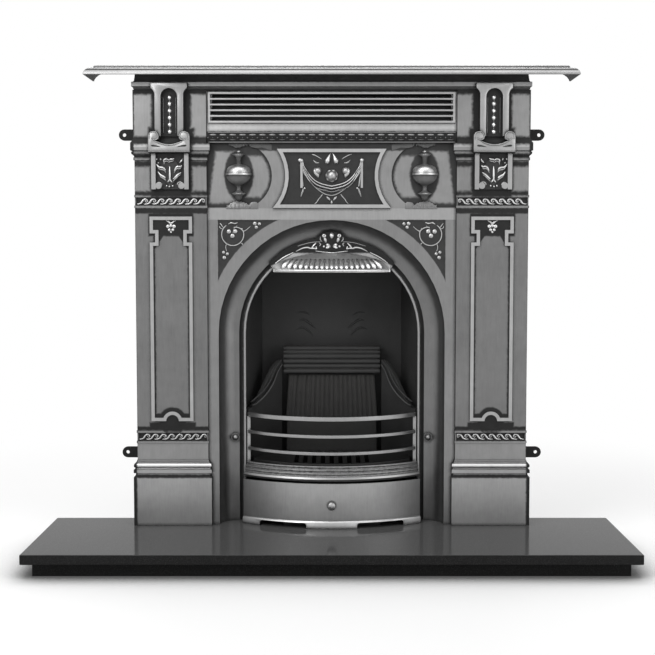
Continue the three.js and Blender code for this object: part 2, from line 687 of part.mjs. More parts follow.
/** Tablet with side bars that end in volutes, and the raised ground of its leaf. */
function leftTablet() {
  const back = JAMB_FRONT + GAP;
  const front = JAMB_FRONT + TABLET_OUT;
  const middle = -JAMB_MIDDLE;
  const top = SADDLE_BOTTOM - GAP - 1;
  const tall = top - TABLET_BOTTOM;
  const side = (sign) => {
    const inner = TABLET_HALF - TABLET_BAR;
    const [x0, x1] = inOrder(middle + sign * TABLET_HALF, middle + sign * inner);
    const curl = circle(
      middle + sign * (inner - 0.8 * TABLET_VOLUTE), TABLET_BOTTOM + TABLET_VOLUTE + 1, TABLET_VOLUTE, 12,
    );
    return join(plate(rectangle(x0, x1, TABLET_BOTTOM, top), back, front), plate(curl, back, front));
  };
  const leaf = [[0, 0.08], [0.8, 0.3], [1, 0.62], [0.37, 0.88]].map(([out, up]) => [
    out * LEAF_HALF, TABLET_BOTTOM + up * tall,
  ]);
  const leafShape = [...leaf, ...mirror(leaf.slice(1)).reverse()].map(([x, z]) => [x + middle, z]);
  return join(
    plate(rectangle(middle - TABLET_HALF, middle + TABLET_HALF, TABLET_BOTTOM, top), back, back + BACKING),
    side(-1),
    side(1),
    plate(leafShape, back + 1, front - LEAF_SUNK),
  );
}

// ---------------------------------------------------------------- centre casting

function centrePlate() {
  const half = JAMB_INNER - GAP;
  const plateBack = PLATE_FRONT - PLATE_THICK;
  const archSide = arc(0, ARCH_SPRING, ARCH_RADIUS, 0, 180, ARCH_STEPS);
  const outline = [
    [-half, GAP], [-half, CORNICE_TOP], [half, CORNICE_TOP], [half, GAP],
    [ARCH_RADIUS, GAP], ...archSide, [-ARCH_RADIUS, GAP],
  ];
  const cove = [
    ...arc(COVE_INNER, PLATE_FRONT, COVE_RADIUS, 0, -90, 6),
    ...arc(COVE_INNER, PLATE_FRONT, COVE_RADIUS + IRON, -90, 0, 6),
  ];
  const flange = (x0, x1) => box(x0, x1, SURROUND_BACK, plateBack + 1, GAP, CORNICE_TOP);
  const boss = (side) => rod(STUD_BOSS, IRON, [side * STUD_X, COVE_BACK + IRON, STUD_Z], "forward", 14);
  const stud = (side) =>
    rod(STUD_SHANK + GAP, COVE_RADIUS, [side * STUD_X, FRAME_BACK, STUD_Z], "forward", 8);
  const whole = join(
    plate(outline, plateBack, PLATE_FRONT),
    flange(-half, -half + IRON),
    flange(half - IRON, half),
    box(-half, half, SURROUND_BACK, plateBack + 1, CORNICE_TOP - IRON, CORNICE_TOP),
    archway(cove, GAP),
    boss(-1),
    boss(1),
  );
  return cut(
    whole, niche(-1), niche(1), spandrel(-1), spandrel(1), stud(-1), stud(1),
    ...boltHoles(-half, BOLT_HEIGHTS),
    ...boltHoles(half, BOLT_HEIGHTS),
  );
}

/** The niche's sunk ground, round beside the plaque and square beside the jamb. */
function niche(side) {
  const low = THREE.MathUtils.radToDeg(Math.asin(NICHE_FALL / NICHE_RADIUS));
  const points = [
    [-JAMB_INNER, NICHE_Z - NICHE_FALL],
    ...arc(-NICHE_X, NICHE_Z, NICHE_RADIUS, low - 180, 90, 24),
    [-JAMB_INNER, NICHE_Z + NICHE_RADIUS],
  ];
  return plate(side < 0 ? points : mirror(points), PLATE_FRONT - NICHE_SUNK, PLATE_FRONT + 1);
}

/** The sunk three-cornered field in the corner over the arch. */
function spandrel(side) {
  const outer = ARCH_RADIUS + SPANDREL_MARGIN;
  const low = THREE.MathUtils.radToDeg(Math.acos(ARCH_RADIUS / outer));
  const points = [[-ARCH_RADIUS, ARCH_CROWN], ...arc(0, ARCH_SPRING, outer, 180 - low, 90 + low, 8)];
  return plate(side < 0 ? points : mirror(points), PLATE_FRONT - SPANDREL_SUNK, PLATE_FRONT + 1);
}

// Outline of the urn from its tip up, as shares of its radius and of its height
const URN_OUTLINE = [
  [0, 0], [0.25, 0], [0.2, 0.07], [0.37, 0.12], [0.52, 0.15], [0.2, 0.18], [0.15, 0.21], [0.17, 0.31],
  [0.45, 0.33], [0.7, 0.38], [0.87, 0.43], [0.96, 0.48], [1, 0.5], [0.96, 0.53], [0.76, 0.61],
  [0.51, 0.67], [0.23, 0.71], [0.18, 0.81], [0.23, 0.86], [0.46, 0.9], [0.23, 0.94], [0.08, 0.99], [0, 1],
];

/** Turned urn, split down its back where it lies on the niche. */
function leftUrn() {
  const shape = URN_OUTLINE.map(([out, up]) => [out * URN_RADIUS, URN_RISE - (1 - up) * URN_TALL]);
  const whole = turned(shape, [-NICHE_X, PLATE_FRONT, NICHE_Z], "up", 16);
  const behind = box(-2 * NICHE_X, 0, 0, PLATE_FRONT - NICHE_SUNK + GAP, GAP, CORNICE_TOP);
  return cut(whole, behind);
}

/** Plaque with hollow sides: a raised border round a field with a swag, its knobs and the middle flower. */
function plaque() {
  const outline = (inset) => {
    const radius = NICHE_RADIUS + PLAQUE_CLEAR + inset;
    const high = THREE.MathUtils.radToDeg(Math.asin((PLAQUE_RISE - inset) / radius));
    const low = THREE.MathUtils.radToDeg(Math.asin((inset - PLAQUE_FALL) / radius));
    const left = arc(-NICHE_X, NICHE_Z, radius, high, low, 8);
    return [...left, ...mirror(left).reverse()];
  };
  const back = PLATE_FRONT + GAP;
  const field = PLATE_FRONT + PLAQUE_FIELD_OUT;
  const front = PLATE_FRONT + PLAQUE_OUT;
  const knobZ = NICHE_Z + SWAG_RISE;
  const lower = sag(0, knobZ, SWAG_X + SWAG_HALF_THICK / 2, SWAG_FALL + SWAG_HALF_THICK, 14);
  const upper = sag(0, knobZ, SWAG_X - SWAG_HALF_THICK / 2, SWAG_FALL - SWAG_HALF_THICK, 14);
  const ribbon = (side) => {
    const [x0, x1] = [side * SWAG_X - RIBBON_HALF, side * SWAG_X + RIBBON_HALF];
    return plate(rectangle(x0, x1, knobZ - SWAG_FALL, knobZ), field - 1, front - 1);
  };
  const fruitZ = NICHE_Z + FRUIT_RISE;
  return join(
    plate(outline(1), back, field),
    plate(outline(0), back, front, [outline(PLAQUE_BAR)]),
    plate([...lower, ...upper.reverse()], field - 1, front - 1),
    ribbon(-1),
    ribbon(1),
    dome(-SWAG_X, field, knobZ, ROSETTE, 10),
    dome(SWAG_X, field, knobZ, ROSETTE, 10),
    dome(0, field, NICHE_Z, FLOWER, 10),
    dome(-FRUIT_X, field, fruitZ, FRUIT, 10),
    dome(FRUIT_X, field, fruitZ, FRUIT, 10),
  );
}

// ---------------------------------------------------------------- header, grille, bed mould and shelf

function header() {
  const half = JAMB_INNER - GAP;
  const bottom = CORNICE_TOP + GAP;
  const top = SURROUND_TOP;
  const front = HEADER_FRONT;
  const plateBack = front - PLATE_THICK;
  const seat = GRILLE_SEAT - GAP;
  const hole = rectangle(
    -GRILLE_HALF + seat, GRILLE_HALF - seat, GRILLE_BOTTOM + seat, GRILLE_TOP - seat,
  );
  const flange = (x0, x1) => box(x0, x1, SURROUND_BACK, plateBack + 1, bottom, top);
  const egg = [[-1, 0], [0.33, 0], [0.5, 0.23], [1, 0.62], [1, 0.88], [-1, 1]].map(([out, up]) => [
    front + out * EGG_OUT, CORNICE_TOP + EGG_UP + up * EGG_TALL,
  ]);
  const whole = join(
    plate(rectangle(-half, half, bottom, top), plateBack, front, [hole]),
    flange(-half, -half + IRON),
    flange(half - IRON, half),
    box(-half, half, SURROUND_BACK, plateBack + 1, bottom, bottom + IRON),
    skin(egg, [(d, z) => [-half, d, z], (d, z) => [half, d, z]]),
  );
  return cut(whole, ...boltHoles(-half, [HEADER_BOLT]), ...boltHoles(half, [HEADER_BOLT]));
}

function grille() {
  const tall = GRILLE_TOP - GRILLE_BOTTOM - 2 * GRILLE_RIM;
  const slotTall = (tall - (GRILLE_SLOTS - 1) * GRILLE_BAR) / GRILLE_SLOTS;
  const inside = GRILLE_HALF - GRILLE_RIM;
  const slots = range(GRILLE_SLOTS).map((i) => {
    const z = GRILLE_BOTTOM + GRILLE_RIM + i * (slotTall + GRILLE_BAR);
    return rectangle(-inside, inside, z, z + slotTall);
  });
  const rim = rectangle(-GRILLE_HALF, GRILLE_HALF, GRILLE_BOTTOM, GRILLE_TOP);
  const bodyHalf = GRILLE_HALF - GRILLE_SEAT;
  const body = rectangle(-bodyHalf, bodyHalf, GRILLE_BOTTOM + GRILLE_SEAT, GRILLE_TOP - GRILLE_SEAT);
  const front = HEADER_FRONT + GAP;
  return join(
    plate(rim, front, HEADER_FRONT + GRILLE_PROUD, slots),
    plate(body, HEADER_FRONT - PLATE_THICK, front + 1, slots),
  );
}

/** The places of the four bolts that hold the shelf. */
const SHELF_BOLTS = {
  outer_left: PAD_END - BED_HALF,
  inner_left: -PAD_INNER,
  inner_right: PAD_INNER,
  outer_right: BED_HALF - PAD_END,
};

const BED_MOULDING = [
  [0, 0], [0.02, 0.3], [0.13, 0.3], [0.15, 1], [0.37, 1], [0.39, 0.3], [0.45, 0], [0.71, -0.3], [1, -0.3],
];

/** Mould under the shelf, over the jambs and the header: open above, below and behind. */
function bedMould() {
  const levels = profile(BED_MOULDING, SURROUND_TOP + GAP, BED_TALL - GAP, BED_OUT);
  const body = moulded(-BED_HALF, BED_HALF, SURROUND_BACK, BED_FRONT, levels);
  const wall = IRON + 2;
  const hollow = box(-BED_HALF + wall, BED_HALF - wall, 0, BED_FRONT - wall, 0, 2 * BED_TOP);
  const pads = Object.values(SHELF_BOLTS).map((x) => {
    const pad = box(
      x - PAD_SIZE, x + PAD_SIZE, PAD_DEPTH - PAD_SIZE, BED_FRONT - wall + 1, PAD_Z, PAD_Z + IRON,
    );
    return cut(pad, rod(BOLT_SHANK + GAP, 2 * IRON, [x, PAD_DEPTH, PAD_Z - 1], "up", 8));
  });
  return join(cut(body, hollow), ...pads);
}

// Shares of the shelf's height for its edge and for the hollow under it, with how far each lies inside the lip
const SHELF_EDGE = [
  [0, 0], [0.12, 0], [0.35, 2], [0.55, 7], [0.68, 13], [0.74, 19], [0.76, 23], [0.86, 23], [0.94, 25],
  [1, 28],
];
const SHELF_HOLLOW = [[-0.1, 3], [0.15, 5], [0.4, 10], [0.62, 18], [0.75, 27]];

/** Thin shelf whose edge curls down at the front and both ends, with bosses for its bolts. */
function shelf() {
  const lip = SHELF_TOP - SHELF_TALL;
  const levels = (points) => profile(points, lip, SHELF_TALL, -SHELF_TALL / 27);
  const body = moulded(-SHELF_HALF, SHELF_HALF, SURROUND_BACK, SHELF_FRONT, levels(SHELF_EDGE));
  const under = [...levels(SHELF_HOLLOW), [SHELF_TOP - SHELF_THICK, -1.4 * SHELF_TALL]];
  const hollow = moulded(-SHELF_HALF, SHELF_HALF, 0, SHELF_FRONT, under);
  const foot = PAD_Z + IRON + GAP;
  const bosses = Object.values(SHELF_BOLTS).map((x) => {
    const boss = rod(SHELF_BOSS, SHELF_TOP - 2 - foot, [x, PAD_DEPTH, foot], "up", 12);
    return cut(boss, rod(BOLT_SHANK + GAP, 12, [x, PAD_DEPTH, foot - 1], "up", 8));
  });
  return join(cut(body, hollow), ...bosses);
}

function shelfBolt(x) {
  const long = IRON + 10;
  const outline = [
    [0, -BOLT_HEAD_TALL], [BOLT_HEAD, -BOLT_HEAD_TALL], [BOLT_HEAD, 0], [BOLT_SHANK, 0],
    [BOLT_SHANK, long], [0, long],
  ];
  return turned(outline, [x, PAD_DEPTH, PAD_Z - GAP], "up", 6);
}

// ---------------------------------------------------------------- arch frame, studs and hood

/** Frame behind the cove: a flange, the bright bead round the opening, and the ledges for the fire front. */
function archFrame() {
  const bead = FRAME_IN + FRAME_BEAD;
  const round = FRAME_BEAD / 4;
  const section = [
    [FRAME_IN, FRAME_BACK], [FRAME_OUT, FRAME_BACK], [FRAME_OUT, FRAME_FLANGE], [bead, FRAME_FLANGE],
    [bead, BEAD_FRONT - round], [bead - round, BEAD_FRONT], [FRAME_IN + round, BEAD_FRONT],
    [FRAME_IN, BEAD_FRONT - round],
  ];
  const ledge = (side) => {
    const [x0, x1] = inOrder(side * (BAR_HALF - UPRIGHT), side * (FRAME_IN + 2));
    return box(x0, x1, FRAME_BACK, FRAME_FLANGE, REST_Z - REST_TALL, REST_Z - GAP);
  };
  const hole = (radius, [x, z]) => rod(radius + GAP, COVE_RADIUS, [x, FRAME_BACK - IRON, z], "forward", 8);
  return cut(
    join(archway(section, GAP), ledge(-1), ledge(1)),
    hole(STUD_SHANK, [-STUD_X, STUD_Z]),
    hole(STUD_SHANK, [STUD_X, STUD_Z]),
    hole(HOOD_SCREW, hoodBoltPlace(-1)),
    hole(HOOD_SCREW, hoodBoltPlace(1)),
  );
}

/** Round-headed stud that draws the frame up to the cove. */
function archStud(side) {
  const seat = COVE_BACK + 2 * IRON + GAP;
  const tail = FRAME_BACK - GAP - seat;
  const nut = 2 * STUD_SHANK;
  const outline = [
    [0, tail - BOLT_HEAD_TALL], [nut, tail - BOLT_HEAD_TALL], [nut, tail], [STUD_SHANK, tail],
    [STUD_SHANK, 0], [STUD_RADIUS, 0], ...arc(0, 1, STUD_RADIUS, 0, 90, 4),
  ];
  return turned(outline, [side * STUD_X, seat, STUD_Z], "forward", 14);
}

function hoodBoltPlace(side) {
  const angle = THREE.MathUtils.degToRad(HOOD_BOLT_ANGLE);
  const radius = COVE_INNER - STRIP / 2;
  return [side * radius * Math.cos(angle), ARCH_SPRING + radius * Math.sin(angle)];
}

/** Outline of the crest over the hood: its right half from the rim up to the peak. */
function crestHalf() {
  const radius = FRAME_IN + CREST_LAP;
  return [
    [HOOD_HALF, HOOD_RIM_TOP], [radius * 0.66, HOOD_RIM_TOP + 2.5 * HOOD_RIM_TALL],
    ...arc(0, ARCH_SPRING, radius, 58, 80, 5),
    [CREST_TOP_HALF, CREST_PEAK - 12], [0.75 * CREST_TOP_HALF, CREST_PEAK - 5], [0, CREST_PEAK],
  ];
}

/** Canopy hood: a bowed apron hanging from a crest plate that is held to the arch frame. */
function hood() {
  const half = crestHalf();
  const crestFront = CREST_BACK + CREST_THICK;
  const crest = plate([...half, ...mirror(half).reverse().slice(1)], CREST_BACK, crestFront);
  const section = [[0, 0], [0, 1], [0, 2], [1, 2], [1, 1], [1, 0]];
  const steps = 14;
  const stations = range(steps + 1).map((i) => {
    const t = -1 + (2 * i) / steps;
    const swell = 1 - t * t;
    const rim = CREST_BACK + HOOD_SET + HOOD_BOW * swell;
    const topZ = HOOD_RIM_TOP + HOOD_APRON_END + (HOOD_APRON - HOOD_APRON_END) * swell;
    return (inside, row) => {
      const thick = inside ? HOOD_THICK : 0;
      if (row === 2) return [HOOD_HALF * t, crestFront + 2 * swell - thick, topZ];
      return [HOOD_HALF * t, rim - thick, row ? HOOD_RIM_TOP : HOOD_RIM];
    };
  });
  const foot = FRAME_FLANGE + GAP;
  const bosses = [-1, 1].map((side) => {
    const [x, z] = hoodBoltPlace(side);
    const boss = rod(HOOD_BOSS, CREST_BACK + 1 - foot, [x, foot, z], "forward", 10);
    return cut(boss, rod(HOOD_SCREW + GAP, CREST_BACK - 2 - foot, [x, foot - 1, z], "forward", 8));
  });
  return join(crest, skin(section, stations), ...bosses);
}

function hoodBolt(side) {
  const [x, z] = hoodBoltPlace(side);
  const long = CREST_BACK - 6 - FRAME_BACK;
  const head = 2.5 * HOOD_SCREW;
  const outline = [[0, -4], [head, -4], [head, 0], [HOOD_SCREW, 0], [HOOD_SCREW, long], [0, long]];
  return turned(outline, [x, FRAME_BACK - GAP, z], "forward", 6);
}

// ---------------------------------------------------------------- firebox

/** Casing of the firebox: two splayed sides, the back and the throat plate with its damper. */
function firebox() {
  const front = FRAME_BACK - GAP;
  const back = -FIREBOX_BACK;
  const side = [
    [FIREBOX_FRONT_HALF, front], [FIREBOX_FRONT_HALF + IRON, front],
    [FIREBOX_BACK_HALF + IRON, back], [FIREBOX_BACK_HALF, back],
  ];
  const top = FIREBOX_TOP - GAP;
  const rear = FIREBOX_BACK_HALF + IRON;
  const pinReach = LUG_X + IRON + 6;
  return {
    firebox_side_left: slab(mirror(side), GAP, top),
    firebox_side_right: slab(side, GAP, top),
    fireback_plate: box(-rear, rear, back - IRON, back - GAP, GAP, top),
    throat_plate: throatPlate(),
    damper_flap: damperFlap(),
    damper_pin: rod(PIN_RADIUS, 2 * pinReach, [-pinReach, PIN_D, PIN_Z], "across", 16),
  };
}

function throatPlate() {
  const front = FRAME_BACK - GAP;
  const back = -FIREBOX_BACK - IRON;
  const frontHalf = FRAME_OUT - THROAT_LAP;
  const backHalf = FIREBOX_BACK_HALF + IRON;
  const outline = [[-frontHalf, front], [frontHalf, front], [backHalf, back], [-backHalf, back]];
  const hole = box(-THROAT_HALF, THROAT_HALF, THROAT_BACK, THROAT_FRONT, FIREBOX_TOP - 1, FLUE_Z + 1);
  const lugs = [-LUG_X - IRON, LUG_X].map((x) =>
    box(x, x + IRON, PIN_D - EYE, PIN_D + EYE, FLUE_Z - 1, PIN_Z + EYE),
  );
  const bore = rod(PIN_RADIUS + GAP, 4 * LUG_X, [-2 * LUG_X, PIN_D, PIN_Z], "across", 16);
  return cut(join(cut(slab(outline, FIREBOX_TOP, FLUE_Z), hole), ...lugs), bore);
}

/** Flap that lies over the throat, with a barrel round its pin and a tongue for the poker. */
function damperFlap() {
  const half = THROAT_HALF + FLAP_LAP;
  const under = FLUE_Z + GAP;
  const leaf = box(-half, half, PIN_D, THROAT_FRONT + FLAP_LAP, under, under + FLAP_THICK);
  const barrel = rod(PIN_RADIUS + BARREL_WALL, 2 * half, [-half, PIN_D, PIN_Z], "across", 16);
  const web = box(-half, half, PIN_D, PIN_D + FLAP_THICK, under, PIN_Z);
  const middle = (THROAT_BACK + THROAT_FRONT - TONGUE_THICK) / 2;
  const tongue = box(
    -TONGUE_HALF, TONGUE_HALF, middle, middle + TONGUE_THICK, FIREBOX_TOP - TONGUE_LONG, under + 1,
  );
  const bore = rod(PIN_RADIUS + GAP, 4 * half, [-2 * half, PIN_D, PIN_Z], "across", 16);
  return cut(join(leaf, barrel, web, tongue), bore);
}

/** Fluted brick that stands behind the fire, leaning back a little. */
function fireBrick() {
  const face = (x, t) => BRICK_FACE + BRICK_LEAN * (1 - t) - (Math.abs(x) % 2 ? FLUTE_DEEP : 0);
  const front = range(2 * FLUTES + 1).map((i) => i - FLUTES);
  const outline = [...front.map((i) => [i, 0]), [FLUTES, 1], [-FLUTES, 1]];
  const station = (t, z) => (i, rear) => {
    const half = THREE.MathUtils.lerp(BRICK_HALF_BOTTOM, BRICK_HALF_TOP, t);
    const d = rear ? BRICK_FACE - BRICK_THICK : face(i, t);
    return [(half * i) / FLUTES, d, z];
  };
  return skin(outline, [station(0, GAP), station(1, BRICK_TOP)]);
}

/** Ribbed block on top of the brick, with a drip groove that leaves a shadow line over the brick. */
function ledgeBlock() {
  const back = BRICK_FACE - BRICK_THICK;
  const groove = BRICK_FACE - LEDGE_OUT;
  const lip = BRICK_TOP + LEDGE_GROOVE;
  const top = BRICK_TOP + LEDGE_TALL;
  const pitch = (top - lip) / (LEDGE_RIBS + 0.5);
  const ribs = range(LEDGE_RIBS).flatMap((i) => {
    const z = lip + (i + 0.3) * pitch;
    return [[LEDGE_FRONT, z], [LEDGE_FRONT, z + 0.7 * pitch], [LEDGE_FRONT - 4, z + 0.85 * pitch]];
  });
  const section = [
    [back, BRICK_TOP + GAP], [groove, BRICK_TOP + GAP], [groove, lip],
    [LEDGE_FRONT - 3, lip], ...ribs, [LEDGE_FRONT - 9, top], [back, top],
  ];
  const station = (x, inset) => (d, z) => [x, d > BRICK_FACE - 5 ? d - inset : d, z];
  const inner = LEDGE_HALF - LEDGE_CHAMFER;
  return skin(section, [
    station(-LEDGE_HALF, LEDGE_CHAMFER), station(-inner, 0), station(inner, 0),
    station(LEDGE_HALF, LEDGE_CHAMFER),
  ]);
}

/** Splayed cheek beside the fire. Its top sweeps down in an S from the block to the fire front. */
function basketCheek(side) {
  const run = [CHEEK_FRONT[0] - CHEEK_BACK[0], CHEEK_FRONT[1] - CHEEK_BACK[1]];
  const long = Math.hypot(...run);
  const [ux, ud] = run.map((v) => v / long);
  const place = (out) => (s, z) => [
    side * (CHEEK_BACK[0] + ux * s + ud * out), CHEEK_BACK[1] + ud * s - ux * out, z,
  ];
  const fall = CHEEK_REAR_Z - CHEEK_FRONT_Z;
  const steps = 10;
  const sweep = range(steps + 1).map((i) => {
    const t = i / steps;
    return [t * long, CHEEK_REAR_Z - fall * (t * t * (3 - 2 * t))];
  });
  const outline = [[0, GAP], [long, GAP], ...sweep.reverse()];
  const inset = CHEEK_THICK / 2;
  const ledge = rectangle(inset, long - inset, GRATE_Z - REST_TALL, GRATE_Z - GAP);
  return join(
    skin(outline, [place(0), place(CHEEK_THICK)]),
    skin(ledge, [place(-CHEEK_LEDGE), place(1)]),
  );
}

// ---------------------------------------------------------------- fire front, grate, ash pan and cover

// Stepped face of the bottom rail, as shares of its thickness behind its front and of its height
const RAIL_STEPS = [[1, 0], [1, 1], [0.5, 1], [0.5, 0.67], [0.25, 0.63], [0.25, 0.37], [0, 0.33], [0, 0]];

function fireFront() {
  const bars = bow(BAR_HALF, BAR_FRONT, BAR_BOW);
  const rail = bow(RAIL_HALF, RAIL_FRONT, RAIL_BOW);
  const steps = 16;
  const barEnd = BAR_FRONT - BAR_BOW;
  const railEnd = RAIL_FRONT - RAIL_BOW;
  const foot = RAIL_BOTTOM + 2;
  const back = FRAME_FLANGE + GAP;
  const upright = (side) => {
    const [x0, x1] = inOrder(side * (BAR_HALF - UPRIGHT), side * BAR_HALF);
    return join(
      box(x0, x1, back, barEnd + 2, foot, BAR_TOP - TOP_BAR_TALL),
      box(x0, x1, back, railEnd, foot, foot + RAIL_TALL / 2),
      box(x0, x1, FRAME_BACK, back + 1, REST_Z, REST_Z + REST_TALL),
    );
  };
  const bar = (i) => {
    const low = BAR_LOW + i * BAR_PITCH;
    const tall = i === BARS - 1 ? TOP_BAR_TALL : BAR_TALL;
    return bowed(rectangle(-BAR_THICK, 0, low, low + tall), bars, steps);
  };
  const steppedRail = RAIL_STEPS.map(([back, up]) => [-back * RAIL_THICK, RAIL_BOTTOM + up * RAIL_TALL]);
  return join(
    ...range(BARS).map(bar),
    bowed(steppedRail, rail, steps),
    bowed(circle(-2, RAIL_BOTTOM - ROLL_RADIUS + 1, ROLL_RADIUS, 8), rail, steps),
    upright(-1),
    upright(1),
  );
}

/** Slotted grate that lifts out: it rests on the cheeks' ledges. */
function bottomGrate() {
  const bars = bow(BAR_HALF, BAR_FRONT, BAR_BOW);
  const reach = bars.radius - BAR_THICK - 2 * RUNNING_GAP;
  const back = CHEEK_BACK[1] + CHEEK_THICK / 2;
  const knee = -CHEEK_LEDGE; // where the splayed sides meet the bowed front
  const sideX = (d) => {
    const t = (d - CHEEK_BACK[1]) / (CHEEK_FRONT[1] - CHEEK_BACK[1]);
    return THREE.MathUtils.lerp(CHEEK_BACK[0], CHEEK_FRONT[0], t) - RUNNING_GAP;
  };
  const turn = THREE.MathUtils.radToDeg(Math.asin(sideX(knee) / reach));
  const front = arc(0, bars.middle, reach, 90 - turn, 90 + turn, 12);
  const outline = [
    [-sideX(back), back], [sideX(back), back], [sideX(knee), knee], ...front, [-sideX(knee), knee],
  ];
  const slots = range(GRATE_SLOTS).map((i) => {
    const x = (i - (GRATE_SLOTS - 1) / 2) * GRATE_PITCH;
    const end = bars.middle + Math.sqrt(reach * reach - x * x) - GRATE_EDGE;
    const half = GRATE_SLOT / 2;
    return box(x - half, x + half, back + GRATE_EDGE, end, GRATE_Z - 1, GRATE_Z + GRATE_THICK + 1);
  });
  return cut(slab(outline, GRATE_Z, GRATE_Z + GRATE_THICK), ...slots);
}

/** Bowed cover over the ash pit, with a foot moulding and two air notches. */
function ashPanCover() {
  const face = bow(COVER_HALF, COVER_FRONT, COVER_BOW);
  const end = COVER_FRONT - COVER_BOW;
  const shell = bowed(rectangle(-COVER_THICK, 0, GAP, COVER_TOP), face, 16);
  const out = COVER_FOOT_OUT;
  const foot = bowed(
    [[-1, GAP], [-1, COVER_FOOT], [out / 4, COVER_FOOT], [out, COVER_FOOT - out], [out, GAP]], face, 16,
  );
  const wing = (side) => {
    const [x0, x1] = inOrder(side * (COVER_HALF - COVER_THICK), side * COVER_HALF);
    return box(x0, x1, BEAD_FRONT + GAP, end, GAP, COVER_TOP);
  };
  const notch = (side) => {
    const x = side * NOTCH_MIDDLE;
    const round = NOTCH_TALL / 2;
    const shape = [
      ...arc(x + NOTCH_HALF - round, NOTCH_TALL - round, round, 0, 90, 4),
      ...arc(x - NOTCH_HALF + round, NOTCH_TALL - round, round, 90, 180, 4),
      [x - NOTCH_HALF, -1], [x + NOTCH_HALF, -1],
    ];
    return plate(shape, end - COVER_THICK, 2 * COVER_FRONT);
  };
  const hole = rod(
    STUD_SHANK + GAP, 4 * COVER_THICK, [0, COVER_FRONT - 2 * COVER_THICK, KNOB_Z], "forward", 8,
  );
  return cut(join(shell, foot, wing(-1), wing(1)), notch(-1), notch(1), hole);
}

// Outline of the knob from its seat out, as shares of its radius and of its length
const KNOB_OUTLINE = [[0.6, 0], [0.5, 0.3], [0.9, 0.45], [1, 0.65], [0.8, 0.88], [0.4, 0.98], [0, 1]];

/** Knob with its screw through the cover. */
function coverKnob() {
  const tail = -COVER_THICK - 2 * GAP;
  const nut = 2 * STUD_SHANK;
  const outline = [
    [0, tail - 4], [nut, tail - 4], [nut, tail], [STUD_SHANK, tail], [STUD_SHANK, 0],
    ...KNOB_OUTLINE.map(([out, along]) => [out * KNOB_RADIUS, along * KNOB_LONG]),
  ];
  return turned(outline, [0, COVER_FRONT + GAP, KNOB_Z], "forward", 14);
}

/** Folded steel pan with a turned-out rim. */
function ashPan() {
  const outer = box(-PAN_HALF, PAN_HALF, PAN_BACK, PAN_FRONT, GAP, PAN_TALL);
  const inner = box(
    -PAN_HALF + PAN_SHEET, PAN_HALF - PAN_SHEET, PAN_BACK + PAN_SHEET, PAN_FRONT - PAN_SHEET,
    GAP + PAN_SHEET, PAN_TALL + 1,
  );
  const rim = box(
    -PAN_HALF - PAN_RIM, PAN_HALF + PAN_RIM, PAN_BACK - PAN_RIM, PAN_FRONT + 1,
    PAN_TALL - PAN_SHEET, PAN_TALL,
  );
  return cut(join(outer, rim), inner);
}

/** Strap handle riveted to the pan's front. */
function panHandle() {
  const d = PAN_FRONT + GAP;
  const z = 0.62 * PAN_TALL;
  const foot = HANDLE_HALF + HANDLE_FOOT;
  const thick = HANDLE_SHEET;
  const half = [
    [HANDLE_HALF - thick, d + HANDLE_OUT], [HANDLE_HALF, d], [foot, d], [foot, d + thick],
    [HANDLE_HALF + 2, d + thick], [HANDLE_HALF - 1, d + HANDLE_OUT + thick],
  ];
  return slab([...half, ...mirror(half).reverse()], z - HANDLE_WIDE / 2, z + HANDLE_WIDE / 2);
}

// ---------------------------------------------------------------- the whole

const COLOURS = {
  polished: [0x8c8c8c, 0.35, 0.9],
  dark: [0x2e2e2f, 0.6, 0.7],
  granite: [0x36363a, 0.15, 0],
  concrete: [0x77756f, 0.9, 0],
  clay: [0x4a4744, 0.9, 0],
  sheet: [0x3a3b3d, 0.5, 0.6],
};

const fireplace = new THREE.Group();
fireplace.name = "fireplace";

function add(name, piece, colour) {
  const { vertProperties, triVerts } = piece.getMesh();
  const geometry = new THREE.BufferGeometry();
  geometry.setAttribute("position", new THREE.BufferAttribute(vertProperties, 3));
  geometry.setIndex(new THREE.BufferAttribute(triVerts, 1));
  const [color, roughness, metalness] = COLOURS[colour];
  const material = new THREE.MeshStandardMaterial({ color, roughness, metalness, flatShading: true });
  const mesh = new THREE.Mesh(geometry, material);
  mesh.name = name;
  fireplace.add(mesh);
  return mesh;
}

/** The left piece, and the same piece mirrored for the right. */
function addPair(name, leftPiece, colour) {
  add(`left_${name}`, leftPiece, colour);
  add(`right_${name}`, leftPiece, colour).scale.x = -1;
}

for (const [name, piece] of Object.entries(hearth()))
  add(name, piece, name === "hearth_backfill" ? "concrete" : "granite");

addPair("jamb", leftJamb(), "polished");
addPair("bracket", leftBracket(), "polished");
addPair("leaf_tablet", leftTablet(), "polished");
add("centre_plate", centrePlate(), "polished");
addPair("urn", leftUrn(), "polished");
add("swag_plaque", plaque(), "polished");
add("frieze_header", header(), "polished");
add("air_grille", grille(), "polished");
add("shelf_bed_mould", bedMould(), "polished");
add("mantel_shelf", shelf(), "polished");
add("arch_frame", archFrame(), "polished");
add("canopy_hood", hood(), "polished");

for (const [name, piece] of Object.entries(firebox())) add(name, piece, "dark");
add("fire_brick", fireBrick(), "clay");
add("ledge_block", ledgeBlock(), "clay");

add("fire_front", fireFront(), "polished");
add("bottom_grate", bottomGrate(), "dark");
add("ash_pan_cover", ashPanCover(), "polished");
add("cover_knob", coverKnob(), "polished");
add("ash_pan", ashPan(), "sheet");
add("ash_pan_handle", panHandle(), "sheet");

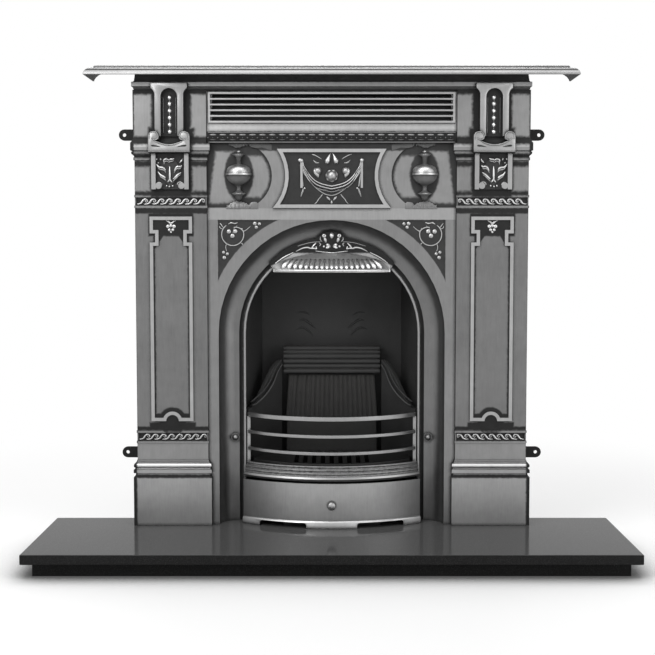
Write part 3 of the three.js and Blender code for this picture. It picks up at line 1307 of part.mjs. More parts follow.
for (const [name, side] of Object.entries({ left: -1, right: 1 })) {
  add(`basket_cheek_${name}`, basketCheek(side), "dark");
  add(`arch_stud_${name}`, archStud(side), "polished");
  add(`hood_bolt_${name}`, hoodBolt(side), "dark");
  const grip = 2 * IRON + 3 * GAP;
  const start = side < 0 ? -JAMB_INNER - IRON - GAP : JAMB_INNER - IRON - 2 * GAP;
  for (const [i, z] of [...BOLT_HEIGHTS, HEADER_BOLT].entries())
    add(`jamb_bolt_${name}_${i + 1}`, bolt([start, BOLT_D, z], "across", grip), "dark");
}
for (const [name, x] of Object.entries(SHELF_BOLTS)) add(`shelf_bolt_${name}`, shelfBolt(x), "dark");

export default fireplace;
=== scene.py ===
"""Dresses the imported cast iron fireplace: smooth castings, relief ornament, materials, light and camera.

Lengths are in millimetres in the fireplace's own terms: across from the centre, out from the hearth's back
edge, and up from the top of the hearth. place() turns them into the frame's metres. Modifiers, shader
settings and the studio are in metres.
"""
import math

import bmesh
import bpy
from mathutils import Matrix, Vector
from mathutils.bvhtree import BVHTree


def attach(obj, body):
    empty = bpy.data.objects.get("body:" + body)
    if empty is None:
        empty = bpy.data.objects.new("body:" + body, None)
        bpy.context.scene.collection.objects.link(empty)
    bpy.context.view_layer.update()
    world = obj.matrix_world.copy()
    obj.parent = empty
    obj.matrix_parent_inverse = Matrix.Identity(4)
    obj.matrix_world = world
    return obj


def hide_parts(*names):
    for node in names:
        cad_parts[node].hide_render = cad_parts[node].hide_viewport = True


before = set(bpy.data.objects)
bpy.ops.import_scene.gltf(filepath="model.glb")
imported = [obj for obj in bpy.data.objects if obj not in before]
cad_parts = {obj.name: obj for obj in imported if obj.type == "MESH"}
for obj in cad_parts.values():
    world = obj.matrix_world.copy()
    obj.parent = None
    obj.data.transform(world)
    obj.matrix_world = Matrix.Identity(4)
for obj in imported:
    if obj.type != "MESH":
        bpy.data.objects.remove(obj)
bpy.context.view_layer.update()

# The hearth's back edge and top in the frame.
BACK_Y = 113.5
HEARTH = 59.0

# The middle line of a jamb, and how far out its surfaces lie.
JAMB = 427.25
JAMB_FACE = 88.0
TABLET_FACE = 99.0
STRAP_GROUND = 96.0
SADDLE_FACE = 118.0

# The middle castings: what lies behind CENTRE_RECESS on the centre plate is hollowed out.
NICHE = (247.0, 938.0)
ARCH_SPRING = 518.0
ARCH_RADIUS = 303.0
SPANDREL_RADIUS = 336.0
STUD = (263.0, 231.0)
CENTRE_RECESS = 78.0
SPANDREL_GROUND = 77.0
PLAQUE_GROUND = 83.0
LEAF_FACE = 81.0

# Depths behind which other castings are left dull.
PANEL_RECESS = 89.6
PLAQUE_RECESS = 85.5
HEADER_RECESS = 80.0
FRAME_RECESS = 60.0

WHITE = (1, 1, 1, 1)


def place(across, out, up):
    return across / 1000, (BACK_Y - out) / 1000, (HEARTH + up) / 1000


def show(thing):
    bpy.context.scene.collection.objects.link(thing)


# ---------------------------------------------------------------- shapes

class Seat:
    """Finds the front face of a CAD node, so that ornament sits on what carries it."""

    def __init__(self, name):
        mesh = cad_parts[name].data
        points = [vertex.co.copy() for vertex in mesh.vertices]
        self.tree = BVHTree.FromPolygons(points, [list(polygon.vertices) for polygon in mesh.polygons])

    def __call__(self, across, up):
        start = Vector(place(across, 400, up))
        hit = self.tree.ray_cast(start, Vector((0, 1, 0)))[0]
        return BACK_Y - hit.y * 1000 if hit else 0.0


def flat(out):
    """A seat at one depth."""
    return lambda across, up: out


def smooth(points, steps):
    """A Catmull-Rom curve through rows of equally many numbers."""
    rows = [points[0], *points, points[-1]]
    curve = []
    for i in range(1, len(rows) - 2):
        a, b, c, d = rows[i - 1:i + 3]
        for k in range(steps):
            t = k / steps
            curve.append(tuple(
                0.5 * (2 * q + (r - p) * t + (2 * p - 5 * q + 4 * r - s) * t * t
                       + (3 * q - p - 3 * r + s) * t ** 3)
                for p, q, r, s in zip(a, b, c, d)))
    curve.append(tuple(points[-1]))
    return curve


def circle(count, start=0.0):
    """Points on the unit circle, from an angle in radians."""
    angles = [start + 2 * math.pi * i / count for i in range(count)]
    return [(math.cos(a), math.sin(a)) for a in angles]


def polar(x, z, radius, degrees):
    """The point at a distance and an angle from another."""
    angle = math.radians(degrees)
    return x + radius * math.cos(angle), z + radius * math.sin(angle)


def arc(x, z, radius, start, end, count):
    """Points on a circle from one angle to another, in degrees."""
    return [polar(x, z, radius, start + (end - start) * i / count) for i in range(count + 1)]


def inset(outline, by):
    """An outline moved inwards, from points given anticlockwise."""
    moved = []
    for i, (x, z) in enumerate(outline):
        before, after = outline[i - 1], outline[(i + 1) % len(outline)]
        first = Vector((x - before[0], z - before[1])).normalized()
        second = Vector((after[0] - x, after[1] - z)).normalized()
        inward = Vector((-first.y - second.y, first.x + second.x))
        inward = inward.normalized() * (2 * by / max(inward.length, 0.9))
        moved.append((x + inward.x, z + inward.y))
    return moved


def both(half):
    """Closes the right half of an outline, given anticlockwise from its foot, with its mirror image."""
    return [*half, *[(-x, z) for x, z in reversed(half)]]


class Form:
    """Collects closed skins, each point as (across, out, up) with how dark it is, from 0 to 1.

    The dark stands for unpolished iron and for painted shade, as on the urn's lower bowl.
    """

    def __init__(self):
        self.points, self.faces, self.dark = [], [], []

    def loft(self, rings, dark=0.0):
        """Joins rings of equally many points and closes both ends. Dark may be given ring by ring."""
        first, count = len(self.points), len(rings[0])
        for i, ring in enumerate(rings):
            self.points.extend(ring)
            shade = dark[i] if isinstance(dark, (list, tuple)) else dark
            self.dark.extend([shade] * count)
        last = first + (len(rings) - 1) * count
        for here in range(first, last, count):
            there = here + count
            for k in range(count):
                n = (k + 1) % count
                self.faces.append((here + k, here + n, there + n, there + k))
        self.faces.append(tuple(range(first, first + count)))
        self.faces.append(tuple(range(last, last + count)))

    def slab(self, outline, back, front, edge=1.2, dark=0.0):
        """A flat shape with rounded front edges, from points given anticlockwise."""
        rows = ((outline, back), (outline, front - edge), (inset(outline, edge * 0.3), front - edge * 0.3),
                (inset(outline, edge), front))
        self.loft([[(x, out, z) for x, z in row] for row, out in rows], dark)

    def rope(self, path, seat, rise=1.0, sides=8, dark=0.0, steps=5):
        """Half-round relief along points (across, up, radius) on a seat."""
        curve = smooth(path, steps) if steps > 1 else path
        rings = []
        for i, (x, z, radius) in enumerate(curve):
            before, after = curve[max(i - 1, 0)], curve[min(i + 1, len(curve) - 1)]
            tx, tz = after[0] - before[0], after[1] - before[1]
            size = math.hypot(tx, tz) or 1.0
            nx, nz = -tz / size, tx / size
            radius = max(radius, 0.05)
            out = seat(x, z)
            rings.append([(x + nx * radius * c, out + radius * rise * s, z + nz * radius * c)
                          for c, s in circle(sides, math.pi / sides)])
        self.loft(rings, dark)

    def tube(self, path, radius, dark):
        """A round bar along points (across, out, up)."""
        curve = [Vector(point) for point in smooth(path, 5)]
        rings = []
        for i, point in enumerate(curve):
            along = (curve[min(i + 1, len(curve) - 1)] - curve[max(i - 1, 0)]).normalized()
            aside = along.cross(Vector((0, 0, 1))).normalized()
            over = aside.cross(along)
            rings.append([tuple(point + (aside * c + over * s) * radius) for c, s in circle(10)])
        self.loft(rings, dark)

    def petal(self, x0, z0, x1, z1, width, seat, rise=1.0, fat=0.5, dark=0.0, steps=9, sides=10):
        """A leaf or fruit from one end to the other, fattest at the share fat of its length."""
        path = []
        for i in range(steps + 1):
            t = i / steps
            share = t ** (math.log(0.5) / math.log(fat))
            path.append((x0 + (x1 - x0) * t, z0 + (z1 - z0) * t, width * math.sin(math.pi * share) ** 0.7))
        self.rope(path, seat, rise, sides, dark, steps=1)

    def dome(self, x, z, radius, rise, out, sides=20, rows=5, dark=0.0, ring=None):
        """A round head on a face. Ring says how dark its foot is, if that differs."""
        rings = [[(x + radius * c, out - 1.5, z + radius * s) for c, s in circle(sides)]]
        for i in range(rows + 1):
            angle = math.pi / 2 * min(i / rows, 0.985)
            rings.append([(x + radius * math.cos(angle) * c, out + rise * math.sin(angle),
                           z + radius * math.cos(angle) * s) for c, s in circle(sides)])
        foot = dark if ring is None else ring
        self.loft(rings, [foot, foot] + [dark] * rows)

    def lathe(self, x, out, outline, back, sides):
        """Turned about an upright axis, from (radius, up) or (radius, up, dark), and flat at the back."""
        rings = [[(x + row[0] * c, max(out + row[0] * s, back), row[1]) for c, s in circle(sides)]
                 for row in outline]
        self.loft(rings, [row[2] if len(row) > 2 else 0.0 for row in outline])

    def moved(self, across=0.0, flip=False):
        """A copy, mirrored about the centre if flip says so, and then moved sideways."""
        other = Form()
        sign = -1 if flip else 1
        other.points = [(sign * x + across, out, up) for x, out, up in self.points]
        other.faces = [tuple(reversed(face)) if flip else face for face in self.faces]
        other.dark = list(self.dark)
        return other

    def take(self, other):
        first = len(self.points)
        self.points.extend(other.points)
        self.dark.extend(other.dark)
        self.faces.extend([tuple(first + i for i in face) for face in other.faces])

    def mirror(self):
        """Adds the same again on the other side of the centre."""
        self.take(self.moved(flip=True))

    def piece(self, name, material, slot="polished_iron", replaces=(), sharp=50):
        mesh = bpy.data.meshes.new(name)
        mesh.from_pydata([place(*point) for point in self.points], [], self.faces)
        # The dark of each point: unpolished iron, and painted shade.
        tone = mesh.attributes.new("unpolished_and_shade", "FLOAT", "POINT")
        tone.data.foreach_set("value", self.dark)
        shell = bmesh.new()
        shell.from_mesh(mesh)
        bmesh.ops.recalc_face_normals(shell, faces=shell.faces)
        shell.to_mesh(mesh)
        shell.free()
        mesh.shade_smooth()
        mesh.set_sharp_from_angle(angle=math.radians(sharp))
        mesh.materials.append(material)
        thing = bpy.data.objects.new(name, mesh)
        show(thing)
        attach(thing, "root")
        if replaces:
            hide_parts(*replaces)


# ---------------------------------------------------------------- materials

class Nodes:
    """Fills a node tree. Values are numbers or other nodes' outputs."""

    def __init__(self, tree):
        self.tree = tree
        self.tree.nodes.clear()

    def make(self, kind, *values, **settings):
        """A node with its settings, and with values for its first inputs."""
        node = self.tree.nodes.new(kind)
        for key, value in settings.items():
            setattr(node, key, value)
        for socket, value in zip(node.inputs, values):
            self.put(socket, value)
        return node

    def put(self, socket, value):
        if isinstance(value, bpy.types.NodeSocket):
            self.tree.links.new(value, socket)
        else:
            socket.default_value = value

    def fill(self, node, **inputs):
        """Gives values to inputs by their names."""
        for name, value in inputs.items():
            self.put(node.inputs[name], value)
        return node

    def sum(self, kind, a, b=0.0, c=0.0):
        return self.make("ShaderNodeMath", a, b, c, operation=kind).outputs[0]

    def less(self, a, b):
        return self.sum("SUBTRACT", a, b)

    def times(self, a, b):
        return self.sum("MULTIPLY", a, b)

    def length(self, a, b):
        return self.sum("SQRT", self.sum("ADD", self.times(a, a), self.times(b, b)))

    def spread(self, value, low, high, to_low=0.0, to_high=1.0):
        return self.make("ShaderNodeMapRange", value, low, high, to_low, to_high,
                         interpolation_type="SMOOTHSTEP").outputs[0]

    def openness(self, distance, samples):
        """How little stands within a distance in metres, from 0 to 1."""
        node = self.make("ShaderNodeAmbientOcclusion", samples=samples)
        return self.fill(node, Distance=distance).outputs["AO"]

    def seen(self):
        """1 for rays from the camera and for reflections, so that both see the white background."""
        path = self.make("ShaderNodeLightPath").outputs
        glossy = self.sum("MAXIMUM", path["Is Camera Ray"], path["Is Glossy Ray"])
        return self.sum("MAXIMUM", glossy, path["Is Transmission Ray"])


class Paint(Nodes):
    """Builds one procedural material."""

    def __init__(self, name):
        self.material = bpy.data.materials.new(name)
        self.material.use_nodes = True
        super().__init__(self.material.node_tree)
        self.shader = self.make("ShaderNodeBsdfPrincipled")
        self.make("ShaderNodeOutputMaterial", self.shader.outputs[0])
        self.spot = self.make("ShaderNodeTexCoord").outputs["Object"]
        self.x, self.y, self.z = self.make("ShaderNodeSeparateXYZ", self.spot).outputs

    def normal(self):
        facing = self.make("ShaderNodeNewGeometry").outputs["Normal"]
        return self.make("ShaderNodeSeparateXYZ", facing).outputs

    def noise(self, scale, detail=3.0, rough=0.55, spot=None):
        node = self.make("ShaderNodeTexNoise")
        self.fill(node, Vector=spot or self.spot, Scale=scale, Detail=detail, Roughness=rough)
        return node.outputs["Fac"]

    def blend(self, share, first, second, **settings):
        node = self.make("ShaderNodeMix", data_type="RGBA", **settings)
        self.put(node.inputs["Factor"], share)
        self.put(node.inputs[6], first)
        self.put(node.inputs[7], second)
        return node.outputs[2]

    def darker_below(self, colour):
        """Darker towards the bottom of the fire."""
        low, high = (HEARTH + 190) / 1000, (HEARTH + 400) / 1000
        return self.blend(self.spread(self.z, low, high, 0.25, 1.0), grey(0.001), colour)

    def bump(self, height, strength, distance):
        node = self.make("ShaderNodeBump")
        self.fill(node, Strength=strength, Distance=distance, Height=height)
        self.set("Normal", node.outputs[0])

    def set(self, name, value):
        self.put(self.shader.inputs[name], value)


def grey(level, warm=0.0):
    return (level * (1 + warm), level, level * (1 - warm), 1)


class Places:
    """Distances in millimetres from regions of the front, negative inside them, as shader nodes."""

    def __init__(self, paint):
        self.p = paint
        self.across = paint.times(paint.sum("ABSOLUTE", paint.x), 1000.0)
        self.up = paint.less(paint.times(paint.z, 1000.0), HEARTH)
        self.out = paint.sum("MULTIPLY_ADD", paint.y, -1000.0, BACK_Y)

    def band(self, value, low, high):
        away = self.p.sum("ABSOLUTE", self.p.less(value, (low + high) / 2))
        return self.p.less(away, (high - low) / 2)

    def level(self, low, high):
        return self.band(self.up, low, high)

    def box(self, x0, x1, z0, z1):
        return self.p.sum("MAXIMUM", self.band(self.across, x0, x1), self.level(z0, z1))

    def on_jamb(self, *boxes):
        """Boxes as (left, right, low, high), to the left and right of a jamb's middle line."""
        return self.any(*[self.box(JAMB - left, JAMB + right, low, high)
                          for left, right, low, high in boxes])

    def round(self, x, z, radius, squeeze=1.0):
        """Squeeze widens it sideways."""
        dx = self.p.sum("DIVIDE", self.p.less(self.across, x), squeeze)
        return self.p.less(self.p.length(dx, self.p.less(self.up, z)), radius)

    def behind(self, out):
        """A depth counts sevenfold, so that its edge stays sharp."""
        return self.p.times(self.p.less(self.out, out), 7.0)

    def arch(self):
        """Distance from the middle line, or from the arch's centre above its springing."""
        rise = self.p.sum("MAXIMUM", self.p.less(self.up, ARCH_SPRING), 0.0)
        return self.p.length(self.across, rise)

    def fold(self, kind, values):
        whole = values[0]
        for value in values[1:]:
            whole = self.p.sum(kind, whole, value)
        return whole

    def any(self, *regions):
        return self.fold("MINIMUM", regions)

    def all(self, *regions):
        return self.fold("MAXIMUM", regions)

    def outside(self, region):
        return self.p.times(region, -1.0)

    def soft(self, region):
        """The same region with a wider edge."""
        return self.p.times(region, 0.5)

    def gains(self, *rows):
        """The product of the factors of all (region, factor) that a point lies in."""
        factors = [self.p.spread(region, 1.0, -1.0, 1.0, factor) for region, factor in rows]
        return self.fold("MULTIPLY", factors)


def iron(name, regions=None, bright=0.23, dull=0.022, shades=None, facing=(0.9, 0.12),
         hollows=(0.88, 0.56)):
    """Polished iron, dull in regions(places), and dark in its recesses and on faces that turn away.

    The dark in recesses is unpolished iron and painted shade together; the dark on faces turned away
    from the front and from above is painted shade. shades(places) paints light and shade: it makes
    parts brighter or less bright.
    facing and hollows are where the dark starts and where it is full: how far a face is turned to the
    front or upwards, and how open a recess is.
    """
    p = Paint(name)
    at = Places(p)
    cloud = p.noise(38.0, 3.0)
    broad = p.noise(6.0, 2.0)
    stretched = p.make("ShaderNodeVectorMath", p.spot, (260.0, 260.0, 26.0), operation="MULTIPLY")
    brushed = p.noise(1.0, 3.0, 0.6, stretched.outputs[0])
    grain = p.noise(950.0, 2.0)
    # The dark given per point: unpolished iron, and painted shade.
    dull_and_shade = p.make("ShaderNodeAttribute", attribute_name="unpolished_and_shade").outputs["Fac"]
    # Ambient occlusion darkens the hollows: unpolished iron and painted shade together.
    groove = p.sum("MULTIPLY_ADD", p.less(p.noise(150.0, 2.0), 0.5), 0.10, p.openness(0.010, 2))
    dull_and_shade = p.sum("MAXIMUM", dull_and_shade, p.spread(groove, *hollows))
    if regions:
        edge = p.sum("MULTIPLY_ADD", p.less(p.noise(110.0, 4.0, 0.6), 0.5), 5.5, regions(at))
        dull_and_shade = p.sum("MAXIMUM", dull_and_shade, p.spread(edge, 2.8, -2.4))
    # Faces turned away from the front and from above are darkened: painted shade.
    _, deep, high = p.normal()
    lit = p.sum("MAXIMUM", p.times(deep, -1.0), p.times(high, 0.9))
    dull_and_shade = p.sum("MAXIMUM", dull_and_shade, p.spread(lit, *facing))
    shine = p.less(1.0, dull_and_shade)
    tone = p.sum("MULTIPLY_ADD", cloud, 0.22, p.sum("MULTIPLY_ADD", brushed, 0.26, 0.60))
    tone = p.sum("MULTIPLY_ADD", broad, 0.34, tone)
    # shades paints light onto the polished tone: painted highlights and painted shade.
    if shades:
        tone = p.times(tone, shades(at))
    polished = p.blend(1.0, grey(bright), tone, blend_type="MULTIPLY", clamp_result=False)
    # The dark tone serves both unpolished iron and painted shade.
    dark_tone = p.blend(cloud, grey(dull * 0.7), grey(dull * 1.35))
    p.set("Base Color", p.blend(shine, dark_tone, polished))
    p.set("Metallic", p.spread(shine, 0.0, 1.0, 0.30, 1.0))
    p.set("Specular IOR Level", 0.2)
    rough = p.spread(shine, 0.0, 1.0, 0.58, 0.37)
    p.set("Roughness", p.sum("ADD", rough, p.sum("MULTIPLY_ADD", brushed, 0.16, -0.08)))
    sand = p.times(grain, p.spread(shine, 0.0, 1.0, 0.30, 0.03))
    p.bump(p.sum("ADD", sand, p.times(brushed, 0.02)), 0.6, 0.0006)
    return p.material


def black_iron():
    p = Paint("black_iron_cast")
    cloud = p.noise(16.0, 4.0)
    p.set("Base Color", p.darker_below(p.blend(cloud, grey(0.026), grey(0.054))))
    p.set("Specular IOR Level", 0.3)
    p.set("Roughness", p.spread(cloud, 0.2, 0.8, 0.50, 0.66))
    p.bump(p.noise(700.0, 3.0), 0.5, 0.0006)
    return p.material


def granite():
    """Black with lighter crystals. Its top is painted lighter than its edges: painted light."""
    p = Paint("black_granite_polished")
    flecks = p.fill(p.make("ShaderNodeTexVoronoi"), Vector=p.spot, Scale=420.0)
    crystal = p.spread(flecks.outputs["Distance"], 0.10, 0.45, 1.0, 0.0)
    mix = p.times(crystal, p.noise(240.0, 4.0, 0.65))
    # The top, lighter than the edges, is painted light.
    painted_top_light = p.spread(p.normal()[2], 0.4, 0.95)
    top = p.blend(mix, grey(0.080), grey(0.175))
    p.set("Base Color", p.blend(painted_top_light, p.blend(mix, grey(0.018), grey(0.075)), top))
    p.set("Specular IOR Level", 0.035)
    p.set("Roughness", p.spread(p.noise(30.0), 0.3, 0.7, 0.09, 0.13))
    return p.material


def plain(name, low, high, rough, scale, metallic=0.0, bump=0.3, warm=0.0, dark_below=False):
    p = Paint(name)
    grain = p.noise(scale * 14, 3.0)
    colour = p.blend(p.noise(scale, 5.0, 0.6), grey(low, warm), grey(high, warm))
    p.set("Base Color", p.darker_below(colour) if dark_below else colour)
    p.set("Metallic", metallic)
    p.set("Roughness", p.spread(grain, 0.2, 0.8, rough - 0.08, rough + 0.08))
    p.bump(grain, bump, 0.0008)
    return p.material


def jamb_regions(at):
    """Dull parts of the jambs: round brackets and tablets, the wave bands, panel corners and hollows.
    The dark bands under the bed mould and in the base's hollow are painted shade.
    """
    frieze = at.on_jamb((56, 49, 1000, 1200), (110, 110, 1151, 1180), (110, 110, 1020, 1041),
                        (64, 57, 1030, 1064))
    neck = at.on_jamb((57, 53, 880, 985), (110, 110, 962, 977), (110, 110, 886, 897), (120, 120, 985, 996))
    lines = at.on_jamb((93, 93, 859.5, 880.5), (93, 93, 229.5, 250.5), (110, 110, 838, 852),
                       (62, 62, 258, 279), (110, 110, 258, 268), (120, 120, 130, 138))
    middle = at.p.sum("ABSOLUTE", at.p.less(at.across, JAMB))
    slope = at.outside(at.p.sum("MULTIPLY_ADD", middle, 1.5, at.p.less(at.up, 809.0)))
    shoulders = at.all(at.on_jamb((47.5, 47.5, 735, 836)), slope)
    border = at.all(at.on_jamb((47.5, 47.5, 292, 836)), at.p.less(43.5, middle))
    panel = at.any(at.on_jamb((60, 60, 778, 840), (48, 48, 280, 303)), shoulders, border,
                   at.round(JAMB, 283.0, 37.0))
    outer_side = at.box(522.6, 600, 0, 1300)
    return at.any(at.soft(at.any(frieze, neck)), lines, at.all(at.behind(PANEL_RECESS), panel), outer_side)


def jamb_shades(at):
    """Painted light: the shaft is dimmer than the blocks, and its frame, the base's roll and the cornice's
    lip shine with painted highlights.
    """
    frame_bars = at.all(at.box(300, 520, 258, 852), at.outside(at.behind(PANEL_RECESS + 0.2)))
    return at.gains((at.level(255, 852), 0.78), (frame_bars, 2.1), (at.level(156, 170), 3.2),
                    (at.level(1013, 1022), 1.5), (at.level(-5, 156), 1.5), (at.level(170, 224), 1.15),
                    (at.level(1000, 1200), 1.12))


def centre_regions(at):
    """Dull parts of the middle casting: round the urns, in the spandrels and in the strip over the urns."""
    x, z = NICHE
    ground = at.all(at.behind(CENTRE_RECESS), at.box(x - 90, x + 90, 849, 1030))
    edge = at.p.sum("MULTIPLY_ADD", at.p.less(1003.7, at.up), 0.135, 309.0)
    beside_jamb = at.all(at.p.less(at.across, edge), at.box(x, 340, 865.5, 1003.5))
    beside_plaque = at.all(at.round(x, z, 81.0), at.box(100, x, 882, 991))
    shining = at.all(at.any(beside_jamb, beside_plaque), at.outside(at.round(x, 941, 66.0, 0.58)))
    spandrel = at.all(at.box(-400, 303, 400, 821), at.outside(at.round(0.0, ARCH_SPRING, SPANDREL_RADIUS)))
    return at.any(at.all(ground, at.outside(at.soft(shining))), spandrel, at.box(-400, 340, 1005, 1030))


def centre_shades(at):
    """Painted light: the cove is painted darker than the plate, and the plate gets a painted highlight over
    the arch.
    """
    cove = at.all(at.behind(CENTRE_RECESS), at.p.less(at.arch(), ARCH_RADIUS))
    return at.gains((at.box(-400, 332, 822, 852), 1.45), (at.box(-400, 332, 852, 1005), 1.15), (cove, 0.72))


def header_regions(at):
    """The header is dull under the eggs, over the grille and behind its bars."""
    return at.any(at.level(1021, 1054), at.level(1160, 1200), at.behind(HEADER_RECESS))


def bed_regions(at):
    """The mould under the shelf is darkened except for its lower bead: painted shade under the shelf, and a
    painted shadow line under the bead.
    """
    return at.any(at.level(1183, 1300), at.level(1150, 1170))


def frame_regions(at):
    """The flat strip between the cove and the bead is dull, and so is the frame round the studs."""
    round_stud = at.all(at.behind(FRAME_RECESS), at.round(*STUD, 17.0))
    return at.any(at.band(at.arch(), 242.5, 256.0), round_stud)


def hood_regions(at):
    """The hood is dull behind its crest and outside the line that runs down from it to the rim."""
    beyond = at.p.sum("MULTIPLY_ADD", at.across, 0.56, at.p.less(at.up, 790.0))
    return at.any(at.level(733, 900), at.outside(beyond))


def hood_shades(at):
    """A painted highlight on the hood's rim, which is its brightest part, and painted shade on the band
    above it.
    """
    return at.gains((at.level(680, 690), 1.8), (at.level(690, 716), 0.75))


def bar_regions(at):
    """The bottom rail is darkened between its steps: painted shade in the creases."""
    return at.any(at.level(161, 164), at.level(152, 155), at.level(143.5, 146))


def shelf_shades(at):
    """Painted shade on the shelf's edge: two dark lines and a darker lip."""
    return at.gains((at.level(1206.4, 1209.4), 0.30), (at.level(1214.4, 1217), 0.35),
                    (at.level(1217.5, 1300), 0.62))


def cover_shades(at):
    """Painted light: the cover is brighter in its middle and along its foot, and darker towards its ends.
    """
    return at.p.times(at.gains((at.level(-5, 21), 1.5)), at.p.spread(at.across, 90.0, 235.0, 1.15, 0.62))


# One polished iron in copies of different brightness. The brighter copies, for relief, beads, rims and
# edges, are painted highlights.
POLISHED = iron("iron_polished")
JAMB_IRON = iron("iron_jamb", jamb_regions, shades=jamb_shades)
CENTRE_IRON = iron("iron_centre", centre_regions, dull=0.044, shades=centre_shades)
HEADER_IRON = iron("iron_header", header_regions, bright=0.44)
BED_IRON = iron("iron_bed_mould", bed_regions, bright=0.26, dull=0.055)
FRAME_IRON = iron("iron_frame", frame_regions, bright=0.30)
TABLET_IRON = iron("iron_tablet", lambda at: at.behind(TABLET_FACE), bright=0.34, dull=0.045)
BRACKET_IRON = iron("iron_bracket", bright=0.34, dull=0.032)
PLAQUE_IRON = iron("iron_plaque", lambda at: at.behind(PLAQUE_RECESS), bright=0.42, dull=0.036)
RELIEF = iron("iron_relief", bright=0.56, facing=(0.75, 0.0), hollows=(0.74, 0.42))
BRIGHT = iron("iron_bright", bright=0.76, facing=(0.6, -0.1), hollows=(0.62, 0.34))
EDGE_IRON = iron("iron_bright_edges", bright=0.40)
URN_IRON = iron("iron_urn", bright=0.50, facing=(0.85, 0.1), hollows=(0.86, 0.50))
LEAF_IRON = iron("iron_leaf", bright=0.62, facing=(0.65, 0.0), hollows=(0.70, 0.38))
BAR_IRON = iron("iron_bars", bar_regions, bright=0.32)
SHELF_IRON = iron("iron_shelf", bright=0.28, shades=shelf_shades)
COVER_IRON = iron("iron_cover", bright=0.34, shades=cover_shades)
HOOD_IRON = iron("iron_hood", hood_regions, bright=0.42, shades=hood_shades)
BLACK = black_iron()
GRANITE = granite()
CONCRETE = plain("concrete_backfill", 0.22, 0.34, 0.85, 30.0, bump=0.6, warm=0.02)
BRICK = plain("firebrick", 0.026, 0.052, 0.85, 40.0, bump=0.6, warm=0.03, dark_below=True)
SHEET = plain("black_sheet_steel", 0.020, 0.034, 0.45, 25.0, metallic=0.6)
BOLT = plain("blued_bolt_steel", 0.10, 0.17, 0.38, 90.0, metallic=1.0)

SLOT_MATERIAL = {
    "polished_iron": POLISHED, "black_iron": BLACK, "granite": GRANITE, "concrete": CONCRETE,
    "firebrick": BRICK, "sheet_steel": SHEET, "bolt_steel": BOLT,
}
NODE_MATERIAL = {
    "left_jamb": JAMB_IRON, "right_jamb": JAMB_IRON, "centre_plate": CENTRE_IRON,
    "left_leaf_tablet": TABLET_IRON, "right_leaf_tablet": TABLET_IRON, "swag_plaque": PLAQUE_IRON,
    "frieze_header": HEADER_IRON, "air_grille": EDGE_IRON, "shelf_bed_mould": BED_IRON,
    "mantel_shelf": SHELF_IRON, "arch_frame": FRAME_IRON, "canopy_hood": HOOD_IRON,
    "fire_front": BAR_IRON, "bottom_grate": SHEET, "ash_pan_cover": COVER_IRON, "cover_knob": EDGE_IRON,
}


# ---------------------------------------------------------------- the castings

def smoothing_group():
    """Geometry nodes that shade faces smooth and keep edges over 50 degrees sharp."""
    group = bpy.data.node_groups.new("smooth_castings", "GeometryNodeTree")
    for way in ("INPUT", "OUTPUT"):
        group.interface.new_socket("Geometry", in_out=way, socket_type="NodeSocketGeometry")
    tree = Nodes(group)
    faces = tree.make("GeometryNodeSetShadeSmooth", tree.make("NodeGroupInput").outputs[0])
    angle = tree.make("GeometryNodeInputMeshEdgeAngle")
    sharp = tree.make("FunctionNodeCompare", angle.outputs[0], math.radians(50))
    edges = tree.make("GeometryNodeSetShadeSmooth", faces.outputs[0], domain="EDGE")
    edges.inputs["Shade Smooth"].default_value = False
    tree.fill(edges, Selection=sharp.outputs[0])
    tree.make("NodeGroupOutput", edges.outputs[0])
    return group


SMOOTHING = smoothing_group()
# A planar dissolve would close these nodes' slots with stray faces.
SLOTTED_NODES = {"air_grille", "bottom_grate", "frieze_header"}
# How wide edges are rounded off, where it isn't the usual width.
USUAL_BEVEL = 0.0010
BEVEL = {"hearth_slab": 0.0022, "mantel_shelf": 0.0006, "fire_front": 0.0011, "air_grille": 0.0009}


def modify(thing, name, kind, **settings):
    modifier = thing.modifiers.new(name, kind)
    for key, value in settings.items():
        setattr(modifier, key, value)


def dress(name, thing):
    """Rounds a CAD node's edges and gives it its material."""
    slot = thing.data.materials[0].name.split(".")[0] if thing.data.materials else "polished_iron"
    material = NODE_MATERIAL.get(name) or SLOT_MATERIAL.get(slot, POLISHED)
    for holder in thing.material_slots:
        holder.link = "OBJECT"
        holder.material = material
    modify(thing, "weld", "WELD", merge_threshold=0.00002)
    if name not in SLOTTED_NODES:
        modify(thing, "faces", "DECIMATE", decimate_type="DISSOLVE", angle_limit=math.radians(1.0))
    modify(thing, "edges", "BEVEL", width=BEVEL.get(name, USUAL_BEVEL), segments=2, limit_method="ANGLE",
           angle_limit=math.radians(38), use_clamp_overlap=True)
    modify(thing, "shading", "NODES", node_group=SMOOTHING)
    modify(thing, "normals", "WEIGHTED_NORMAL", keep_sharp=True, weight=60)


for node_name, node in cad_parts.items():
    dress(node_name, node)


# ---------------------------------------------------------------- relief ornament

# What sits on the jambs is drawn about a jamb's middle line. What is mirrored is drawn on one side only.

WAVES = 8
WAVE_PITCH = 21.8
WAVE = [(-6, 2.2, 1.0), (2, 2.2, 2.0), (8, 4.6, 2.6), (11, 9, 2.7), (15, 13.8, 2.6), (20, 15.2, 2.5),
        (24.2, 12.4, 2.3), (24.4, 8.4, 1.9), (21.2, 7.0, 1.4), (19.6, 9.6, 2.2), (20.4, 10.0, 2.4)]


def wave_bands():
    """Running waves along the two bands of the left jamb, which curl to the right."""
    form = Form()
    for bottom in (861.2, 231.2):
        for i in range(WAVES):
            start = (i - WAVES / 2) * WAVE_PITCH
            form.rope([(start + x, bottom + z, r * 1.2) for x, z, r in WAVE], flat(JAMB_FACE - 3.5), 1.15,
                      steps=3)
    return form


